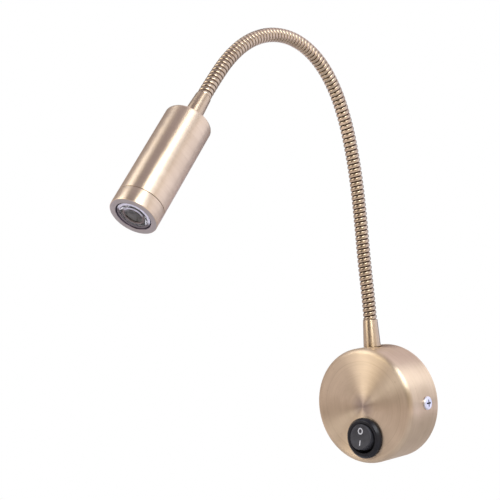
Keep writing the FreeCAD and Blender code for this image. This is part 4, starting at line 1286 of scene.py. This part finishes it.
def neck_path():
    """The neck's middle line as a curve, with straight ends into the base and the head."""
    steps = 20
    points = [walk(NECK_FRAMES[0], -LEAD_BEFORE_NECK, 0).to_translation()]
    for number, start in enumerate(NECK_FRAMES[:-1]):
        turn = LAST_LINK_TURN
        if number < len(NECK_JOINTS):
            turn = link_turn(start, Vector(NECK_JOINTS[number]["pos_m"]))
        for step in range(steps):
            share = step / steps
            points.append(walk(start, LINK_LENGTH * share, turn * share).to_translation())
    points.append(NECK_END.to_translation())
    points.append(walk(NECK_END, LEAD_PAST_NECK, 0).to_translation())
    data = bpy.data.curves.new("neck_path", "CURVE")
    data.dimensions = "3D"
    spline = data.splines.new("POLY")
    spline.points.add(len(points) - 1)
    for place, point in zip(spline.points, points):
        place.co = (*point, 1)
    path = placed("neck_path", data)
    return path


def grown(path, tree, values):
    """The plain mesh that a tree makes from the path, with its inputs given by name."""
    step = path.modifiers.new("grow", "NODES")
    step.node_group = tree
    names = {item.name: item.identifier for item in tree.interface.items_tree if item.in_out == "INPUT"}
    for label, value in values.items():
        step[names[label]] = value
    bpy.context.view_layer.update()
    mesh = bpy.data.meshes.new_from_object(path.evaluated_get(bpy.context.evaluated_depsgraph_get()))
    path.modifiers.remove(step)
    return mesh


def capped(mesh):
    """The mesh with its open ends closed."""
    mesh_data = bmesh.new()
    mesh_data.from_mesh(mesh)
    open_edges = [edge for edge in mesh_data.edges if edge.is_boundary]
    bmesh.ops.holes_fill(mesh_data, edges=open_edges, sides=0)
    mesh_data.to_mesh(mesh)
    mesh_data.free()
    return mesh


def hinge_span(number):
    """The two points between which the neck bends at a hinge, and the bodies on its two sides."""
    hinge = NECK_FRAMES[number]
    reach = BEND_REACH * LINK_LENGTH
    start = walk(hinge, -reach, 0).to_translation()
    end = walk(hinge, reach, 0).to_translation()
    return NECK_BODIES[number - 1], NECK_BODIES[number], start, end


def carry(piece, number):
    """Makes a stretch of the neck ride on the base or the head at its ends, and leaves the others where they
    stand.
    """
    if number == 0:
        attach(piece, "base")
    elif number == len(NECK_BODIES):
        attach(piece, "head")
    else:
        before, after, start, end = hinge_span(number)
        if number in HINGES_FROM_ABOVE:
            before, after, start, end = after, before, end, start
        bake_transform(piece)


def make_neck():
    """The wound neck and the lead in it, in stretches from the middle of one link to the middle of the next."""
    path = neck_path()
    strip = wound_strip_tree()
    lead = lead_tree()
    count = len(NECK_BODIES)
    half = RIBS_PER_LINK // 2
    neck_length = LINK_LENGTH * count
    lead_length = LEAD_BEFORE_NECK + neck_length + LEAD_PAST_NECK
    for number in range(count + 1):
        first = RIBS_PER_LINK * number - half
        turns = RIBS_PER_LINK
        start = LEAD_BEFORE_NECK + first * RIB_PITCH
        end = start + LINK_LENGTH
        if number == 0:
            first, turns, start = -1, half + 1, 0.0
        if number == count:
            turns, end = half + 1, lead_length
        mesh = grown(path, strip, {
            "First Turn": float(first),
            "Turns": turns,
            "Before Neck": LEAD_BEFORE_NECK,
            "Neck Length": neck_length,
            "Material": FINISHES["neck_brass"],
        })
        piece = add_piece(f"neck_winding_{number:02d}", capped(mesh), "neck_brass")
        carry(piece, number)
        links = [f"neck_link_{link:02d}" for link in (number, number + 1) if 0 < link <= count]
        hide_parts(*links)
        mesh = grown(path, lead, {"Start": start, "End": end, "Material": FINISHES["lead_white"]})
        piece = add_piece(f"lead_stretch_{number:02d}", mesh, "lead_white")
        carry(piece, number)
        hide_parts("neck_lead")
    bpy.data.objects.remove(path)


# ---------------------------------------------------------------- carried-over nodes

def dress_frame():
    """Gives each node that still shows its finish."""
    slots = {}
    for part in frame["record"]["subparts"]:
        slots[part["node"]] = part["material_slot"]
    for name, node in frame["nodes"].items():
        node.data.materials.clear()
        node.data.materials.append(FINISHES.get(slots.get(name), FINISHES["plate_steel"]))


def main():
    """Builds everything."""
    scene = bpy.context.scene
    scene.view_settings.view_transform = "Standard"
    add_camera()
    add_room()
    add_floor()
    add_lights()
    dress_frame()
    make_cover()
    make_cover_screws()
    make_lower_ferrule()
    make_upper_ferrule()
    make_head_body()
    make_bezel()
    make_lens()
    make_switch_housing()
    make_rocker()
    make_marks()
    make_neck()


main()
